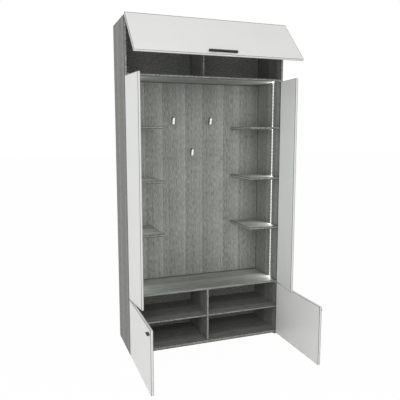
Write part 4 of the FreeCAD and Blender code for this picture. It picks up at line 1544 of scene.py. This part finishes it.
@dataclass
class Fronts:
    """White doors and flap with their black handles.

    Attributes:
        pivot_x: Distance of the doors' pivots from the middle.
        pivot_y: Place of the pivots from front to back.
        pivot_inset: Distance of a pivot from its door's edge and outer face.
        thickness: Thickness of every front.
        tall_width: Width of a tall door.
        tall_span: Bottom and top of the tall doors.
        tall_angle: How far the tall doors stand open.
        lower_width: Width of a lower door.
        lower_span: Bottom and top of the lower doors.
        lower_angle: How far the lower doors stand open.
        flap_size: Width and height of the flap.
        flap_axis: Place of the flap's hinge axis in y and z.
        flap_drop: Distance of the flap's top from that axis.
        flap_gap: Distance of the flap's inner face from that axis.
        flap_angle: How far the flap stands open.
        door_joint_shade: Width of the dark line along a door's arrises, partly a seam and partly painted
            shade.
        flap_joint_shade: Width of that line along the flap's arrises.
        flap_joint_shade_drop: How far the flap's dark lines are set down, which widens the upper one.
    """

    pivot_x: float = 0.550
    pivot_y: float = -0.187
    pivot_inset: float = 0.007
    thickness: float = 0.016
    tall_width: float = 0.242
    tall_span: tuple[float, float] = (0.3945, 1.8355)
    tall_angle: float = math.radians(84)
    lower_width: float = 0.5555
    lower_span: tuple[float, float] = (0.0055, 0.3915)
    lower_angle: float = math.radians(90)
    flap_size: tuple[float, float] = (1.114, 0.3605)
    flap_axis: tuple[float, float] = (-0.1765, 2.2048)
    flap_drop: float = 0.0048
    flap_gap: float = 0.0015
    flap_angle: float = math.radians(44)
    door_joint_shade: float = 0.0026
    flap_joint_shade: float = 0.0032
    flap_joint_shade_drop: float = 0.003

    def build(self) -> None:
        """Dress every front and its handles."""
        for leaf in self.leaves():
            dress((leaf.node,), leaf.finish())
        dress(("flap_handle", "lower_left_pull", "lower_right_pull"), SATIN_BLACK)

    def leaves(self) -> Iterator[Leaf]:
        """All fronts as they stand.

        Yields:
            The doors of each side, and then the flap.
        """
        tall = (self.tall_width, self.tall_span, self.tall_angle)
        lower = (self.lower_width, self.lower_span, self.lower_angle)
        for side in Side:
            name = side.name.lower()
            yield self.door(f"upper_{name}_door", side, *tall)
            yield self.door(f"lower_{name}_door", side, *lower)
        width, height = self.flap_size
        drop = self.flap_drop + height / 2 + self.flap_joint_shade_drop
        middle = Vector((0.0, -self.flap_gap - self.thickness / 2, -drop))
        axis = Vector((0.0, *self.flap_axis))
        turn = Euler((-self.flap_angle, 0.0, 0.0))
        yield self.leaf("flap", axis, turn, middle, (width, self.thickness, height), self.flap_joint_shade)

    @staticmethod
    def leaf(
        node: str, axis: Vector, turn: Euler, middle: Vector, size: Triple, joint_shade_line: float
    ) -> Leaf:
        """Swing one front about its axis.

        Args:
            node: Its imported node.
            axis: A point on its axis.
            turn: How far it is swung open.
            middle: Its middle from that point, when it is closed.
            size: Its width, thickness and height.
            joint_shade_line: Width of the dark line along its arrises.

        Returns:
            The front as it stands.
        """
        place = Matrix.Translation(axis) @ turn.to_matrix().to_4x4() @ Matrix.Translation(middle)
        return Leaf(node, place, turn, size, joint_shade_line)

    def door(self, node: str, side: Side, width: float, span: tuple[float, float], angle: float) -> Leaf:
        """One door as it stands.

        Args:
            node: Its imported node.
            side: Side on which it hangs.
            width: Its width.
            span: Its bottom and top.
            angle: How far it stands open.

        Returns:
            The door's frame and size.
        """
        middle = Vector((
            -side.value * (width / 2 - self.pivot_inset),
            self.thickness / 2 - self.pivot_inset,
            sum(span) / 2,
        ))
        axis = Vector((side.value * self.pivot_x, self.pivot_y, 0.0))
        turn = Euler((0.0, 0.0, side.value * angle))
        size = (width, self.thickness, span[1] - span[0])
        return self.leaf(node, axis, turn, middle, size, self.door_joint_shade)


@dataclass
class Fittings:
    """Steel and plastic fittings, and dark crosses on the fixings' heads as painted shade of their drives.

    Attributes:
        drive_share: Length of a cross drive as a share of its head.
        bar_share: Width of its bars as a share of its head.
        proud: How far the drive shows above the head.
        depth: How far it reaches into the head.
        wide_share: Share of a fixing's reach from its axis that counts as its head.
        head_slack: How far the head's widest part may lie below its end.
    """

    drive_share: float = 0.56
    bar_share: float = 0.13
    proud: float = 0.000005
    depth: float = 0.0004
    wide_share: float = 0.8
    head_slack: float = 0.00001

    STEEL = (
        "cam_housings", "cam_bolts", "carcass_screws", "back_panel_screws", "wall_brackets",
        "top_pivot_plates", "middle_pivot_plates", "bottom_pivot_plates", "flap_hinge_fixed_leaves",
        "flap_hinge_moving_leaves", "flap_hinge_pins", "flap_hinge_screws",
    )
    CAPPED = ("lower_left_pull_screws", "lower_right_pull_screws", "flap_handle_screws")
    NYLON = (
        "floor_glides", "upper_left_bushes", "upper_right_bushes", "lower_left_bushes", "lower_right_bushes",
    )
    DRIVEN = (
        ("carcass_screws", "carcass"),
        ("back_panel_screws", "carcass"),
        ("coat_hook_screws", "carcass"),
        ("cam_housings", "carcass"),
        ("flap_hinge_screws", "top_flap"),
    )

    def build(self) -> None:
        """Dress the fittings and set a dark cross into each head as painted shade of its drive."""
        dress(self.STEEL, ZINC_STEEL)
        dress((*self.CAPPED, *self.NYLON), NYLON_WHITE)
        dress(("wood_dowels",), BEECH)
        for node, body in self.DRIVEN:
            self.drives(node, body)

    def heads(self, corners: np.ndarray) -> Iterator[tuple[Vector, Vector, float]]:
        """Find the drivable ends of one fixing.

        Args:
            corners: Corners of its solid.

        Yields:
            Middle of the end, way out of it, and diameter.
        """
        middle = (corners.min(0) + corners.max(0)) / 2
        values, ways = np.linalg.eigh(np.cov((corners - corners.mean(0)).T))
        low_gap, high_gap = np.diff(values)
        axis = ways[:, 0 if low_gap > high_gap else 2]
        heights = (corners - middle) @ axis
        core = corners.mean(0) - middle
        aside = core - axis * (core @ axis)
        reach = np.linalg.norm(corners - middle - np.outer(heights, axis) - aside, axis=1)
        wide = heights[reach > self.wide_share * reach.max()]
        for sign in (-1.0, 1.0):
            tip = (heights * sign).max()
            if (wide * sign).max() > tip - self.head_slack:
                yield Vector(middle + aside + axis * sign * tip), Vector(axis * sign), 2 * reach.max()

    def cross(self, diameter: float) -> Iterator[Vector]:
        """Corners of a cross drive, in order round it.

        Args:
            diameter: Diameter of the head.

        Yields:
            Corners about the middle of the head.
        """
        long, short = diameter * self.drive_share / 2, diameter * self.bar_share / 2
        for quarter in range(4):
            turn = Matrix.Rotation(quarter * math.pi / 2, 3, "Z")
            for x, y in ((short, short), (short, long), (-short, long)):
                yield turn @ Vector((x, y, 0.0))

    def drives(self, node: str, body: str) -> None:
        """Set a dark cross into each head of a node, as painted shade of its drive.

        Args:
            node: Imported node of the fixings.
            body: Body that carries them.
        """
        form = bmesh.new()
        for corners in loose_solids(node):
            for middle, way, diameter in self.heads(corners):
                head = Matrix.Translation(middle) @ way.to_track_quat("Z", "Y").to_matrix().to_4x4()
                outline = list(self.cross(diameter))
                rows = [
                    [form.verts.new(head @ (corner + Vector((0.0, 0.0, level)))) for corner in outline]
                    for level in (-self.depth, self.proud)
                ]
                loft(form, rows)
        # The crosses are near-black: painted shade of the drive recesses.
        add_piece(f"{node}_drives", form, body, DRIVE_SHADE)


@dataclass
class Studio:
    """Floor, light and camera of the photograph.

    Attributes:
        camera_place: Where the camera stands.
        yaw: Camera's turn to the right of +Y.
        pitch: Camera's tilt above the horizon.
        lens: Focal length in millimetres.
        sensor: Width of the sensor in millimetres.
        sight: Distance up to which the camera sees.
        floor_reach: Half of the floor's side.
        floor_grey: How much light the floor gives back.
        floor_shade: Share of the floor's own light that the camera sees.
        sky: Strength of the even light all round.
        key_power: Power of the soft lamp at the front.
        key_place: Where that lamp hangs.
        key_aim: Point that it faces.
        fill_power: Power of the soft lamp at the left.
        fill_place: Where that lamp stands.
        fill_aim: Point that it faces.
        lamp_side: Side of both square lamps.
    """

    camera_place: Triple = (-1.1871, -3.2537, 1.4741)
    yaw: float = math.radians(20.134)
    pitch: float = math.radians(-7.697)
    lens: float = 43.873
    sensor: float = 36.0
    sight: float = 100.0
    floor_reach: float = 30.0
    floor_grey: float = 0.93
    floor_shade: float = 0.025
    sky: float = 0.66
    key_power: float = 49.5
    key_place: Triple = (-1.6, -4.2, 3.0)
    key_aim: Triple = (0.0, 0.0, 1.1)
    fill_power: float = 17.2
    fill_place: Triple = (-3.0, -3.0, 1.2)
    fill_aim: Triple = (0.0, 0.0, 0.9)
    lamp_side: float = 2.6

    def build(self) -> None:
        """Set up the stage."""
        bpy.context.scene.view_settings.view_transform = "Standard"
        self.add_floor()
        self.add_world()
        self.add_lamp("soft_key", self.key_power, self.key_place, self.key_aim)
        self.add_lamp("soft_fill", self.fill_power, self.fill_place, self.fill_aim)
        self.add_camera()

    def add_floor(self) -> None:
        """Lay a pale floor that shows white and keeps a faint shadow."""
        form = bmesh.new()
        bmesh.ops.create_grid(form, x_segments=1, y_segments=1, size=self.floor_reach)
        mesh = bpy.data.meshes.new("studio_floor")
        form.to_mesh(mesh)
        form.free()
        floor = add_object("studio_floor", mesh)
        pale = bpy.data.materials.new("studio_floor")
        sheet = NodeSheet.blank(pale)
        matt = sheet.put("ShaderNodeBsdfDiffuse", {"Color": rgba((self.floor_grey,) * 3)})
        white = sheet.put("ShaderNodeEmission", {"Color": rgba(WHITE), "Strength": 1.0})
        share = sheet.math("MULTIPLY", self.seen(sheet), 1.0 - self.floor_shade)
        mixed = sheet.put("ShaderNodeMixShader", {0: share, 1: matt.outputs[0], 2: white.outputs[0]})
        sheet.put("ShaderNodeOutputMaterial", {"Surface": mixed.outputs[0]})
        mesh.materials.append(pale)

    @staticmethod
    def seen(sheet: NodeSheet) -> Socket:
        """Mask of the rays that show a background.

        Args:
            sheet: Nodes of the floor or the world.

        Returns:
            1 for camera, glossy and transmission rays, and 0 for the rest.
        """
        path = sheet.put("ShaderNodeLightPath").outputs
        shown = sheet.math("MAXIMUM", path["Is Camera Ray"], path["Is Glossy Ray"])
        return sheet.math("MAXIMUM", shown, path["Is Transmission Ray"])

    def add_world(self) -> None:
        """Surround the unit with even light that shows as white."""
        world = bpy.data.worlds.new("studio")
        bpy.context.scene.world = world
        sheet = NodeSheet.blank(world)
        even, white = (
            sheet.put("ShaderNodeBackground", {"Color": rgba(WHITE), "Strength": strength})
            for strength in (self.sky, 1.0)
        )
        seen = self.seen(sheet)
        mixed = sheet.put("ShaderNodeMixShader", {0: seen, 1: even.outputs[0], 2: white.outputs[0]})
        sheet.put("ShaderNodeOutputWorld", {"Surface": mixed.outputs[0]})

    def add_lamp(self, name: str, power: float, place: Triple, aim: Triple) -> None:
        """Set up a large soft lamp.

        Args:
            name: Name of the lamp.
            power: Its power.
            place: Where it hangs.
            aim: Point that it faces.
        """
        lamp = bpy.data.lights.new(name, "AREA")
        lamp.energy = power
        lamp.size = self.lamp_side
        self.point(add_object(name, lamp), place, Vector(aim) - Vector(place))

    def add_camera(self) -> None:
        """Stand the camera where the photograph was taken."""
        camera = bpy.data.cameras.new("photo_camera")
        camera.lens = self.lens
        camera.sensor_width = self.sensor
        camera.clip_end = self.sight
        holder = add_object("photo_camera", camera)
        ahead = Vector((
            math.sin(self.yaw) * math.cos(self.pitch),
            math.cos(self.yaw) * math.cos(self.pitch),
            math.sin(self.pitch),
        ))
        self.point(holder, self.camera_place, ahead)
        bpy.context.scene.camera = holder

    @staticmethod
    def point(holder: bpy.types.Object, place: Triple, ahead: Vector) -> None:
        """Put a lamp or the camera in its place and turn it to face ahead."""
        holder.location = place
        holder.rotation_euler = ahead.to_track_quat("-Z", "Y").to_euler()


def main() -> None:
    """Build the sub-assemblies in order and stage them."""
    logging.basicConfig(level=logging.INFO, format="%(message)s")
    for assembly in (Carcass(), CoatHooks(), LightStrips(), Fronts(), Fittings(), Studio()):
        LOG.info("building %s", type(assembly).__name__)
        assembly.build()


if __name__ == "__main__":
    main()
